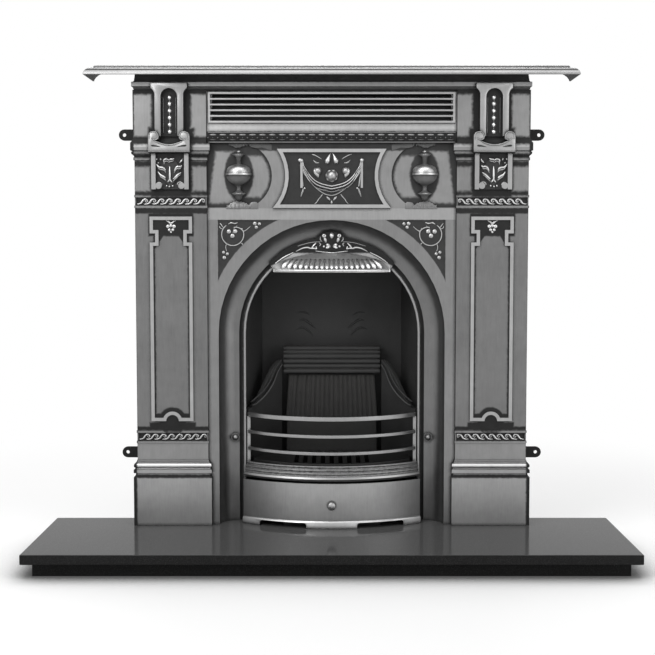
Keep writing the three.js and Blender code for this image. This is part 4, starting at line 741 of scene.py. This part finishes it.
def shaft_drop():
    """The small trefoil that hangs from the top bar of a jamb's panel."""
    form = Form()
    form.rope([(-13, 820, 1.2), (-6, 816, 2.4), (0, 812, 3.2), (6, 816, 2.4), (13, 820, 1.2)],
              flat(JAMB_FACE), 0.9)
    for x, z, r in ((-8, 804, 5.6), (8, 804, 5.6), (0, 806, 5.0), (-4.6, 795, 4.4), (4.6, 795, 4.4),
                    (0, 789, 3.0)):
        form.dome(x, z, r, r * 0.55, JAMB_FACE, sides=14, rows=4)
    return form


ACANTHUS = (
    [(-16.6, 972.5, 0.8), (-15.7, 978, 2.2), (-12.9, 980.6, 2.5), (-7.4, 981.2, 2.3), (-2.8, 978, 1.6)],
    [(-2.8, 978, 1.4), (1.8, 980.3, 2.4), (7.3, 981.2, 2.5), (11.5, 982.6, 1.0)],
    [(-35.5, 967.9, 0.8), (-31.3, 962.4, 2.0), (-26.7, 959.6, 2.5), (-20.3, 958.7, 2.7),
     (-15.7, 956.8, 2.3), (-11.5, 951.3, 1.0)],
    [(31.2, 965.1, 0.8), (28.5, 961.4, 2.2), (20.2, 961.4, 2.7), (15.6, 957.8, 2.3), (11.5, 950.4, 1.0)],
    [(-31.3, 947.6, 0.8), (-25.8, 940.3, 2.2), (-20.3, 937, 2.7), (-13.8, 932.9, 2.5), (-12.5, 930.2, 1.2)],
    [(29.9, 945.8, 0.8), (21.1, 940.3, 2.4), (15.6, 934.8, 2.7), (8.2, 928.3, 1.2)],
    [(-24, 984.4, 0.8), (-24.4, 981, 2.0), (-23, 978, 0.8)],
    [(-32.2, 972.5, 0.8), (-30.4, 971.4, 1.8), (-28.6, 970.6, 0.8)],
    [(32.6, 981.7, 0.8), (30.3, 976.2, 2.1), (25.7, 971.6, 0.9)],
    [(-0.5, 962, 0.8), (-0.5, 952, 2.2), (-0.5, 938, 2.8), (-0.5, 925.6, 2.0)],
    [(-0.5, 928, 1.6), (-3.5, 923.5, 1.8), (-6.5, 920.5, 0.9)],
    [(-0.5, 928, 1.6), (2.8, 923.2, 1.8), (5.5, 920, 0.9)],
)


def tablet_leaf():
    """Acanthus on the left tablet. The first six strokes, its leaves, have a second line under them."""
    form = Form()
    seat = flat(TABLET_FACE)
    for stroke in ACANTHUS:
        form.rope([(x, z, r * 1.15) for x, z, r in stroke], seat, 1.1, steps=4)
    for stroke in ACANTHUS[:6]:
        form.rope([(x * 0.94, z - 5.6, r * 0.7) for x, z, r in stroke], seat, 1.1, dark=0.35, steps=3)
    for x, z in ((-9.2, 910.8), (-1.9, 909), (6.9, 910.8), (-35, 980.8)):
        form.dome(x, z, 2.5, 2.4, TABLET_FACE, sides=12, rows=3)
    for x, z, start, turn in ((-29.9, 912.7, 0, 32), (27.6, 914, 180, -32)):
        spiral = [(*polar(x, z, 8.3 - i * 0.42, start + i * turn), 1.7) for i in range(15)]
        form.rope(spiral, seat, 1.3, steps=2)
        form.dome(x, z, 2.0, 2.4, TABLET_FACE, sides=12, rows=3)
    return form


VOLUTE = (40.3, 1038.5)
VOLUTE_LINE = ((13.0, -30), (13.0, 40), (13.0, 110), (12.6, 170), (11.6, 215), (9.6, 255), (7.4, 290),
               (5.8, 325))
STRAP_EDGE = [(38, 1040), (38, 1151), (38.6, 1153), (41, 1158.5), (44.5, 1162.5), (47.8, 1165),
              (48, 1179.5)]


def bracket():
    """A strap with an arched slot, and a saddle whose volutes curl inwards."""
    form = Form()
    seat = flat(SADDLE_FACE)
    form.rope([(16.5, z, 1.5) for z in (1050, 1096, 1142)], flat(STRAP_GROUND), 1.2, dark=0.35, steps=2)
    form.rope([(46, 1014.4, 1.0), (42, 1014.6, 2.6), (33, 1013.6, 2.0), (22, 1011.3, 0.6)], seat, 0.25,
              dark=1.0)
    form.rope([(*polar(*VOLUTE, *step), 1.3) for step in VOLUTE_LINE], seat, 1.1)
    form.mirror()
    form.slab(both(STRAP_EDGE), 87.5, STRAP_GROUND, dark=[0.2, 0.6, 1.0, 1.0])
    inner = [(21.5, 1040), *arc(0, 1143, 21.5, 0, 90, 8)[:-1]]
    strap = [*both(STRAP_EDGE), *[(-x, z) for x, z in inner], (0, 1164.5), *reversed(inner)]
    form.slab(strap, 90.0, 112.0, edge=1.8)
    saddle = [(55, 997.5), *arc(*VOLUTE, 14.5, 0, 215, 16), (37, 1031.5), (37, 1028.5), (19, 1021.5),
              (5, 1018.8)]
    form.slab(both(saddle), 88.0, SADDLE_FACE, edge=1.8)
    form.rope([(-38, 1027, 0.9), (-19, 1019.4, 1.6), (0, 1016.5, 1.7), (19, 1019.4, 1.6), (38, 1027, 0.9)],
              seat, 1.1)
    form.rope([(x, 999.4, 1.2) for x in (-54, 0, 54)], seat, 1.2, steps=2)
    return form


BRACKET_BEADS = (1142.3, 1125.4, 1107.1, 1089.0, 1070.8, 1052.5)


def bracket_beads():
    """The string of beads in a bracket's slot."""
    form = Form()
    for z in BRACKET_BEADS:
        form.dome(0, z, 6.4, 6.2, 95.5, ring=1.0)
    for above, below in zip(BRACKET_BEADS, BRACKET_BEADS[1:]):
        form.rope([(0, above - 5, 1.3), (0, below + 5, 1.3)], flat(STRAP_GROUND), 1.2, dark=0.7, steps=2)
    return form


LEAVES_OVER_URN = [
    (-278.6, 1025.1), (-272, 1020.5), (-267.2, 1016.5), (-262, 1016), (-258, 1013.5), (-254.2, 1010.8),
    (-249.9, 1012.2), (-243, 1012), (-238, 1016), (-232, 1016.5), (-229.7, 1018), (-226, 1021),
    (-221.1, 1022.2), (-218, 1017), (-213.9, 1013.7), (-208, 1012.5), (-202.4, 1010.8), (-183.7, 1012.2),
    (-159.3, 1003.7), (-159.3, 1026.6), (-278.6, 1026.6)]
LEAVES_UNDER_URN = [
    (-281, 850.5), (-196, 850.5), (-196, 865), (-200.2, 869.1), (-206, 869.5), (-213.2, 868.5), (-217, 865),
    (-220.4, 860.4), (-224, 863), (-227.6, 866.8), (-231, 865.5), (-234, 868.5), (-239.1, 869.1),
    (-243, 871.5), (-247.5, 872.5), (-250.6, 875.5), (-253, 873), (-256, 870), (-260.8, 870.5),
    (-265, 866.5), (-269.4, 866.2), (-271, 862.5), (-273.8, 861.9), (-277, 858), (-281, 854.7)]


def niche_leaves():
    """The leaves that reach into the left niche from above and below the urn."""
    form = Form()
    form.slab(LEAVES_OVER_URN, 74.5, LEAF_FACE, edge=0.9, dark=[0.9, 0.6, 0.45, 0.55])
    form.slab(LEAVES_UNDER_URN, 74.5, LEAF_FACE, edge=0.9, dark=[0.9, 0.5, 0.1, 0.15])
    for i in range(-3, 4):
        lower = ((9.6, 852.5, 1.2), (10.2, 859, 1.6), (10.6, 865 - abs(i) * 1.2, 0.7))
        upper = ((9.0, 1025, 0.9), (9.4, 1019, 1.3), (9.6, 1015 + abs(i), 0.6))
        for middle, vein, dark in ((-247, lower, 0.1), (-244, upper, 0.35)):
            form.rope([(middle + i * step, z, r) for step, z, r in vein], flat(LEAF_FACE), 0.8, dark=dark,
                      steps=3)
    return form


def spandrel_scroll():
    """The scroll with trefoils in the left spandrel."""
    form = Form()
    seat = flat(SPANDREL_GROUND)
    form.rope([(*polar(-264.0, 782.8, 29.5 - max(0, i - 19) * 2.2, 125 + i * 13.2), 2.2 if i else 1.0)
               for i in range(25)], seat, 1.3, steps=2)
    for rise, tendril in (
            (1.3, [(-288, 800, 1.6), (-294, 808, 1.8), (-298, 813, 0.6)]),
            (1.3, [(-290, 797, 1.5), (-297, 800, 1.5), (-299, 806, 0.6)]),
            (1.2, [(-276, 810, 0.8), (-268, 814, 2.6), (-258, 812, 2.2), (-250, 815, 0.7)]),
            (1.3, [(-240, 800, 0.8), (-236, 792, 2.4), (-229, 794, 1.5), (-217, 804, 1.2)]),
            (1.3, [(-244, 762, 1.0), (-238, 757, 2.0), (-240, 750, 0.7)]),
            (1.3, [(-281, 757, 1.6), (-283, 748, 1.5), (-280, 738, 1.2)]),
            (1.2, [(-264, 786, 0.8), (-260, 799, 1.3), (-252, 806, 1.0)])):
        form.rope(tendril, seat, rise)
    for x, z, r in ((-265, 779, 6.4), (-274.5, 790.5, 6.4), (-257.5, 791, 6.4),
                    (-205, 812, 5.6), (-193, 811, 5.0), (-201, 802, 5.0),
                    (-289, 735, 4.8), (-279, 731, 4.8), (-287, 721, 5.4)):
        form.dome(x, z, r, 3.6, SPANDREL_GROUND, sides=18, rows=4, ring=0.5)
        form.dome(x, z, r * 0.42, 2.6, SPANDREL_GROUND + 2.8, sides=12, rows=3)
    return form


def swag_end(x):
    """The button at the right end of the swag, with the ribbons that hang from it."""
    form = Form()
    seat = flat(PLAQUE_GROUND)
    form.dome(x, 979, 6.2, 6.5, PLAQUE_GROUND, ring=0.6)
    form.rope([(x - 0.5, 968, 1.4), (x - 3, 945, 2.2), (x - 6, 925, 3.0), (x - 8, 910, 2.4)], seat, 1.2)
    form.dome(x - 12, 905, 3.2, 3.6, PLAQUE_GROUND, sides=12, rows=3)
    form.rope([(x - 9, 905, 2.4), (x - 6, 895, 3.0), (x - 2, 883, 1.2)], seat, 1.0, dark=0.45)
    form.rope([(x - 6, 952, 0.6), (x - 24, 925, 1.4), (x - 46, 903, 1.8), (x - 66, 890, 2.0),
               (0, 886, 1.8)], seat, 1.4, dark=0.25)
    return form


# Places along the drape as (across, up) at its upper edge, the same at its lower edge, and the folds' size.
# Then its folds, as (share of the way down, radius, dark).
DRAPE = ((75, 966, 76, 955, 0.6), (55, 936, 60, 925, 1.0), (33, 920, 38, 905, 1.0), (0, 911, 0, 895, 1.0))
FOLDS = ((0.06, 1.6, 0.0), (0.28, 1.5, 1.0), (0.5, 1.5, 0.0), (0.72, 1.5, 1.0), (0.94, 1.6, 0.0))


def swag():
    """The swag, fruit and ribbons on the plaque."""
    form = Form()
    seat = flat(PLAQUE_GROUND)
    drape = Seat("swag_plaque")
    for share, radius, dark in FOLDS:
        form.rope([(a + (c - a) * share, b + (d - b) * share, radius * size) for a, b, c, d, size in DRAPE],
                  drape, 1.0, dark=dark)
    form.petal(2, 1001, 15, 968, 7.4, seat, 1.2, fat=0.72)
    form.petal(45, 960, 35, 932, 9.0, seat, 1.0, fat=0.4)
    form.rope([(53, 995, 0.8), (44, 992, 2.0), (33, 986, 1.6), (27, 982, 0.7)], seat, 1.3)
    form.rope([(49, 980, 0.6), (42, 973, 2.4), (33, 972, 0.8)], seat, 0.9, dark=0.35)
    form.rope([(46, 863, 0.8), (40, 868, 1.6), (35, 876, 1.8), (28, 884, 1.4), (24, 890, 0.7)], seat, 1.2,
              dark=0.1)
    form.petal(3, 872, 14, 884, 3.2, seat, 1.0, dark=0.3)
    form.mirror()
    form.take(swag_end(80))
    form.take(swag_end(84).moved(flip=True))
    form.petal(0, 861, 0, 874, 3.4, seat, 1.0, dark=0.3)
    form.dome(0, 938, 16.5, 6.0, PLAQUE_GROUND, sides=28, rows=6, ring=0.4)
    for i in range(7):
        turn = 360 * i / 7 + 17.19
        form.petal(*polar(0, 938, 3, turn), *polar(0, 938, 17.5, turn), 6.4, flat(86.0), 0.75, fat=0.6)
    form.dome(0, 938, 3.6, 4.0, 88.5, sides=14, rows=4, ring=0.8)
    return form


EGGS = 25
EGG_PITCH = 26.2


def egg_row():
    """Eggs and beads along the header, between two fillets."""
    form = Form()
    out = 88.5
    half = EGGS * EGG_PITCH / 2
    for low, high, proud in ((1050.0, 1053.0, 90.5), (1024.5, 1028.0, 90.0)):
        section = ((84.0, low), (proud, low + 0.6), (proud, high - 0.6), (84.0, high))
        form.loft([[(x, depth, z) for depth, z in section] for x in (-half, half)], dark=0.15)
    for i in range(EGGS):
        x = -half + EGG_PITCH * (i + 0.5)
        form.petal(x - 10.8, 1045.5, x + 10.8, 1045.5, 3.6, flat(out), 1.2, steps=8)
        form.dome(x - EGG_PITCH / 2, 1038, 2.3, 2.6, out, sides=10, rows=3, dark=0.2)
        form.dome(x, 1038, 1.7, 2.0, out, sides=8, rows=2, dark=0.3)
        form.petal(x - 8.5, 1032.5, x + 8.5, 1032.5, 2.0, flat(out), 1.0, steps=6, sides=8, dark=0.55)
    return form


# Rows of (radius, up) or (radius, up, dark). The dark under the rims and on the lower bowl is painted
# shade.
URN = [(0.4, 1006), (3.2, 1005.2), (6.0, 1003), (7.4, 1000.4), (6.4, 998.4, 0.3), (9, 997, 0.4),
       (14.5, 995.4), (16.6, 993), (14.8, 990.6, 0.2), (8, 988, 0.7), (6.6, 984, 0.8), (6.2, 976, 0.9),
       (6.8, 970, 0.9), (9, 967.4, 0.8), (14, 966.4, 0.5), (21, 964.2, 0.1), (27.5, 960), (32.0, 953),
       (33.4, 946.4, 0.1), (33.4, 945.2, 0.9), (35.2, 944.6, 0.1), (35.8, 941.6), (35.2, 938.6, 0.2),
       (33.2, 938, 1.0), (33.0, 936.8, 0.8), (31.5, 931, 0.72), (27.4, 924, 0.62), (21, 918.6, 0.7),
       (13.6, 915.2, 0.85), (8, 912.6, 0.9), (5.8, 908, 0.8), (5.6, 902, 0.7), (7.2, 897.4, 0.7),
       (11, 894.6, 0.5), (17, 892.4, 0.1), (18.6, 890), (17, 887.8, 0.4), (11, 885.6, 0.8), (9.6, 882, 0.8),
       (8, 877, 0.85), (5, 873, 0.9), (0.4, 871, 0.9)]


def urn():
    """Turned urn in the left niche, set half into the casting."""
    form = Form()
    form.lathe(-NICHE[0], 84.0, URN, 73.0, 56)
    return form


def gadroons():
    """Petals along the hood's apron, with dark dots between their heads, and the rim below them."""
    form = Form()
    seat = Seat("canopy_hood")
    for i in range(-9, 10):
        head = i * 12.5
        foot = head * (1 + 0.0018 * abs(head))
        form.petal(head, 715, foot, 690.0, 6.3 + abs(head) * 0.017, seat, 0.85, fat=0.62)
        form.dome(head + 6.2, 715.6, 2.0, 1.6, seat(head + 6.2, 715.6), sides=10, rows=3, dark=1.0)
    form.rope([(x, 686.6, 2.4) for x in range(-155, 156, 31)], seat, 1.0, steps=4)
    return form


def crest_relief():
    """Bud, rosettes, bows and scrolls on the hood's crest."""
    form = Form()
    seat = Seat("canopy_hood")
    form.dome(20.5, 780, 5.8, 3.2, seat(20, 780), sides=16, rows=4, ring=0.4)
    form.dome(20.5, 780, 2.2, 3.0, seat(20, 780) + 2.4, sides=12, rows=3, dark=0.8)
    form.petal(20, 776, 14.5, 761, 4.6, seat, 1.0, fat=0.4, dark=0.2)
    form.rope([(30, 776, 0.6), (31, 770, 1.4), (26, 764, 0.8)], seat, 1.0, dark=0.4)
    form.petal(3, 753, 16, 757, 4.4, seat, 1.0, fat=0.6)
    form.petal(3, 751, 17, 746.5, 4.0, seat, 1.0, fat=0.6)
    form.dome(21, 751, 3.2, 2.6, seat(21, 751), sides=12, rows=3, dark=0.1)
    form.rope([(96.5, 737.5, 1.0), (79.7, 745.9, 2.4), (65.2, 748.3, 3.2), (55.6, 745.9, 2.8),
               (49.5, 753.1, 2.6), (42.3, 760.3, 1.2)], seat, 1.2)
    form.rope([(57, 745, 1.8), (48.3, 746, 2.6), (41.1, 744.7, 2.2), (42.5, 751, 1.2)], seat, 1.2)
    form.rope([(152, 705.5, 1.0), (136, 717.5, 1.7), (122.8, 725.5, 1.7), (104, 734.5, 1.0)], seat, 1.0)
    form.rope([(33, 752, 0.8), (30, 757, 1.4), (34, 761, 0.7)], seat, 1.0, dark=0.3)
    form.rope([(0, 733.9, 1.1), (20, 735.6, 1.3), (43.5, 738.7, 0.8)], seat, 1.0)
    form.rope([(30, 764, 0.7), (60, 761, 1.0), (92, 752, 0.7)], seat, 0.9, dark=0.5)
    form.mirror()
    form.petal(0, 771, 0, 789.5, 6.8, seat, 1.0, fat=0.55)
    return form


def fireback_scrolls():
    """Faint scrolls cast on the fireback."""
    form = Form()
    seat = Seat("fireback_plate")
    for scroll in (
            [(93, 538, 1.2), (82, 541, 3.0), (70.3, 535.4, 3.4), (58, 526, 3.0), (47, 516, 1.6)],
            [(96, 562, 1.0), (78, 562, 2.4), (62.5, 555, 1.4)],
            [(102, 512, 1.0), (84, 518, 2.8), (66, 508, 2.6), (54, 494, 1.2)]):
        form.rope(scroll, seat, 1.0)
    form.mirror()
    return form


def brick_flutes():
    """Fine upright flutes on the fire brick."""
    form = Form()
    seat = Seat("fire_brick")
    for i in range(-9, 10):
        x = i * 12.9
        form.rope([(x, 386.2, 5.0), (x * 1.04, 330, 5.2), (x * 1.08, 256, 5.4)], seat, 0.75, steps=3)
    return form


def block_ribs():
    """The ribs across the front of the block on the brick, rounded off at their ends."""
    form = Form()
    ends = ((-134, 0.45), (-131, 0.8), (-126, 1), (0, 1), (126, 1), (131, 0.8), (134, 0.45))
    for z, half in ((463.0, 5.2), (452.4, 4.4), (440.0, 7.2), (425.8, 6.4), (412.4, 6.4), (398.0, 6.6)):
        form.rope([(x, z, half * share) for x, share in ends], flat(-104.0), 0.85, sides=12, steps=2)
    return form


def cheek_ridges():
    """The two polished ridges along the S-shaped top of the left cheek."""
    form = Form()
    form.tube([(-140.7, -100, 417.4), (-152, -85, 397.9), (-165, -60, 364.7), (-183, -38, 339.1),
               (-204.8, -15, 319.4), (-218.8, 0, 313.2)], 2.6, 0.72)
    form.tube([(-143.2, -100, 428.8), (-159.5, -82, 405.8), (-172.9, -60, 374), (-189.4, -38, 350.3),
               (-212.2, -15, 330.5), (-222.4, 0, 323.2)], 2.2, 0.82)
    return form


def grille_blades():
    """Slanted blades behind the grille's slots, which let air through and hide the wall."""
    form = Form()
    section = ((75.5, -1.5), (74.2, -1.5), (57.5, 13.5), (57.5, 16.5), (58.7, 16.5), (58.7, 14.2))
    for i in range(5):
        foot = 1082.5 + i * 14.9
        form.loft([[(x, out, foot + up) for out, up in section] for x in (-319, -160, 0, 160, 319)])
    return form


def pair(left, name, material=RELIEF, node=None):
    """A left piece and its mirror image, which may replace a left and a right node."""
    for side, form in (("left_", left), ("right_", left.moved(flip=True))):
        form.piece(side + name, material, replaces=(side + node,) if node else ())


pair(wave_bands().moved(-JAMB), "wave_bands")
pair(shaft_drop().moved(-JAMB), "shaft_drop")
pair(tablet_leaf().moved(-JAMB), "tablet_leaf", LEAF_IRON)
pair(bracket().moved(-JAMB), "bracket_cast", BRACKET_IRON, "bracket")
pair(bracket_beads().moved(-JAMB), "bracket_beads", BRIGHT)
pair(niche_leaves(), "niche_leaves", POLISHED)
pair(spandrel_scroll(), "spandrel_scroll")
pair(urn(), "urn_turned", URN_IRON, "urn")
pair(cheek_ridges(), "cheek_ridges", POLISHED)
swag().piece("swag_relief", RELIEF)
egg_row().piece("egg_row", POLISHED)
gadroons().piece("hood_gadroons", BRIGHT)
crest_relief().piece("hood_crest_relief", BRIGHT)
fireback_scrolls().piece("fireback_scrolls", BLACK, slot="black_iron")
brick_flutes().piece("brick_flutes", BRICK, slot="firebrick")
block_ribs().piece("block_ribs", BLACK, slot="black_iron")
grille_blades().piece("grille_blades", SHEET, slot="black_iron", sharp=30)


# ---------------------------------------------------------------- studio

FLOOR_HALF = 9.0
FLOOR_UP = -0.0005


def studio_world():
    """Pale light all round, and a white background."""
    world = bpy.data.worlds.new("studio")
    bpy.context.scene.world = world
    world.use_nodes = True
    tree = Nodes(world.node_tree)
    light = tree.make("ShaderNodeBackground", WHITE, 0.42)
    white = tree.make("ShaderNodeBackground", WHITE)
    mix = tree.make("ShaderNodeMixShader", tree.seen(), light.outputs[0], white.outputs[0])
    tree.make("ShaderNodeOutputWorld", mix.outputs[0])


def studio_floor():
    """White paper with a painted contact shadow where the hearth stands on it, which fades into the
    background.
    """
    mesh = bpy.data.meshes.new("studio_floor")
    corners = ((-1, -1), (1, -1), (1, 1), (-1, 1))
    mesh.from_pydata([(x * FLOOR_HALF, y * FLOOR_HALF, FLOOR_UP) for x, y in corners], [], [(0, 1, 2, 3)])
    material = bpy.data.materials.new("floor_paper")
    material.use_nodes = True
    tree = Nodes(material.node_tree)
    seen = tree.seen()
    # Ambient occlusion darkens the paper round the hearth: a painted contact shadow.
    painted_contact_shadow = tree.make("ShaderNodeMapRange", tree.openness(0.28, 6), 0.52, 0.96, 0.15, 0.84).outputs[0]
    shade = tree.make("ShaderNodeCombineXYZ", painted_contact_shadow, painted_contact_shadow, painted_contact_shadow)
    paper = tree.make("ShaderNodeBsdfDiffuse", shade.outputs[0])
    glow = tree.make("ShaderNodeEmission", WHITE, tree.times(seen, tree.times(painted_contact_shadow, 0.32)))
    near = tree.make("ShaderNodeAddShader", paper.outputs[0], glow.outputs[0])
    spot = tree.make("ShaderNodeTexCoord").outputs["Object"]
    away = tree.make("ShaderNodeVectorMath", spot, operation="LENGTH").outputs["Value"]
    far = tree.make("ShaderNodeEmission", WHITE)
    fade = tree.make("ShaderNodeMixShader", tree.times(tree.spread(away, 1.1, 2.2), seen), near.outputs[0],
                     far.outputs[0])
    tree.make("ShaderNodeOutputMaterial", fade.outputs[0])
    mesh.materials.append(material)
    floor = bpy.data.objects.new("studio_floor", mesh)
    show(floor)


def lamp(name, spot, aim, width, height, watts):
    data = bpy.data.lights.new(name, "AREA")
    data.shape = "RECTANGLE"
    data.size = width
    data.size_y = height
    data.energy = watts
    thing = bpy.data.objects.new(name, data)
    thing.location = spot
    thing.rotation_euler = (Vector(aim) - Vector(spot)).to_track_quat("-Z", "Y").to_euler()
    show(thing)


def camera():
    """The camera that was fitted to the photograph."""
    data = bpy.data.cameras.new("camera")
    data.lens = 65.55
    data.sensor_width = 36
    data.shift_x = -0.0064
    thing = bpy.data.objects.new("camera", data)
    thing.location = (0, -3.1559, 0.8036)
    thing.rotation_euler = (math.radians(86.226), 0, 0)
    show(thing)
    bpy.context.scene.camera = thing


studio_world()
studio_floor()
lamp("key", (-1.7, -2.4, 2.5), (0, 0, 0.6), 1.6, 1.6, 42)
lamp("fill", (2.2, -2.0, 1.3), (0, 0, 0.6), 1.6, 1.8, 16)
lamp("top", (0, -0.9, 2.7), (0, 0, 0.9), 2.2, 0.9, 15)
lamp("rear", (0, 2.2, 3.1), (0, 0, 0.6), 2.4, 1.0, 36)
camera()
bpy.context.scene.view_settings.view_transform = "Standard"
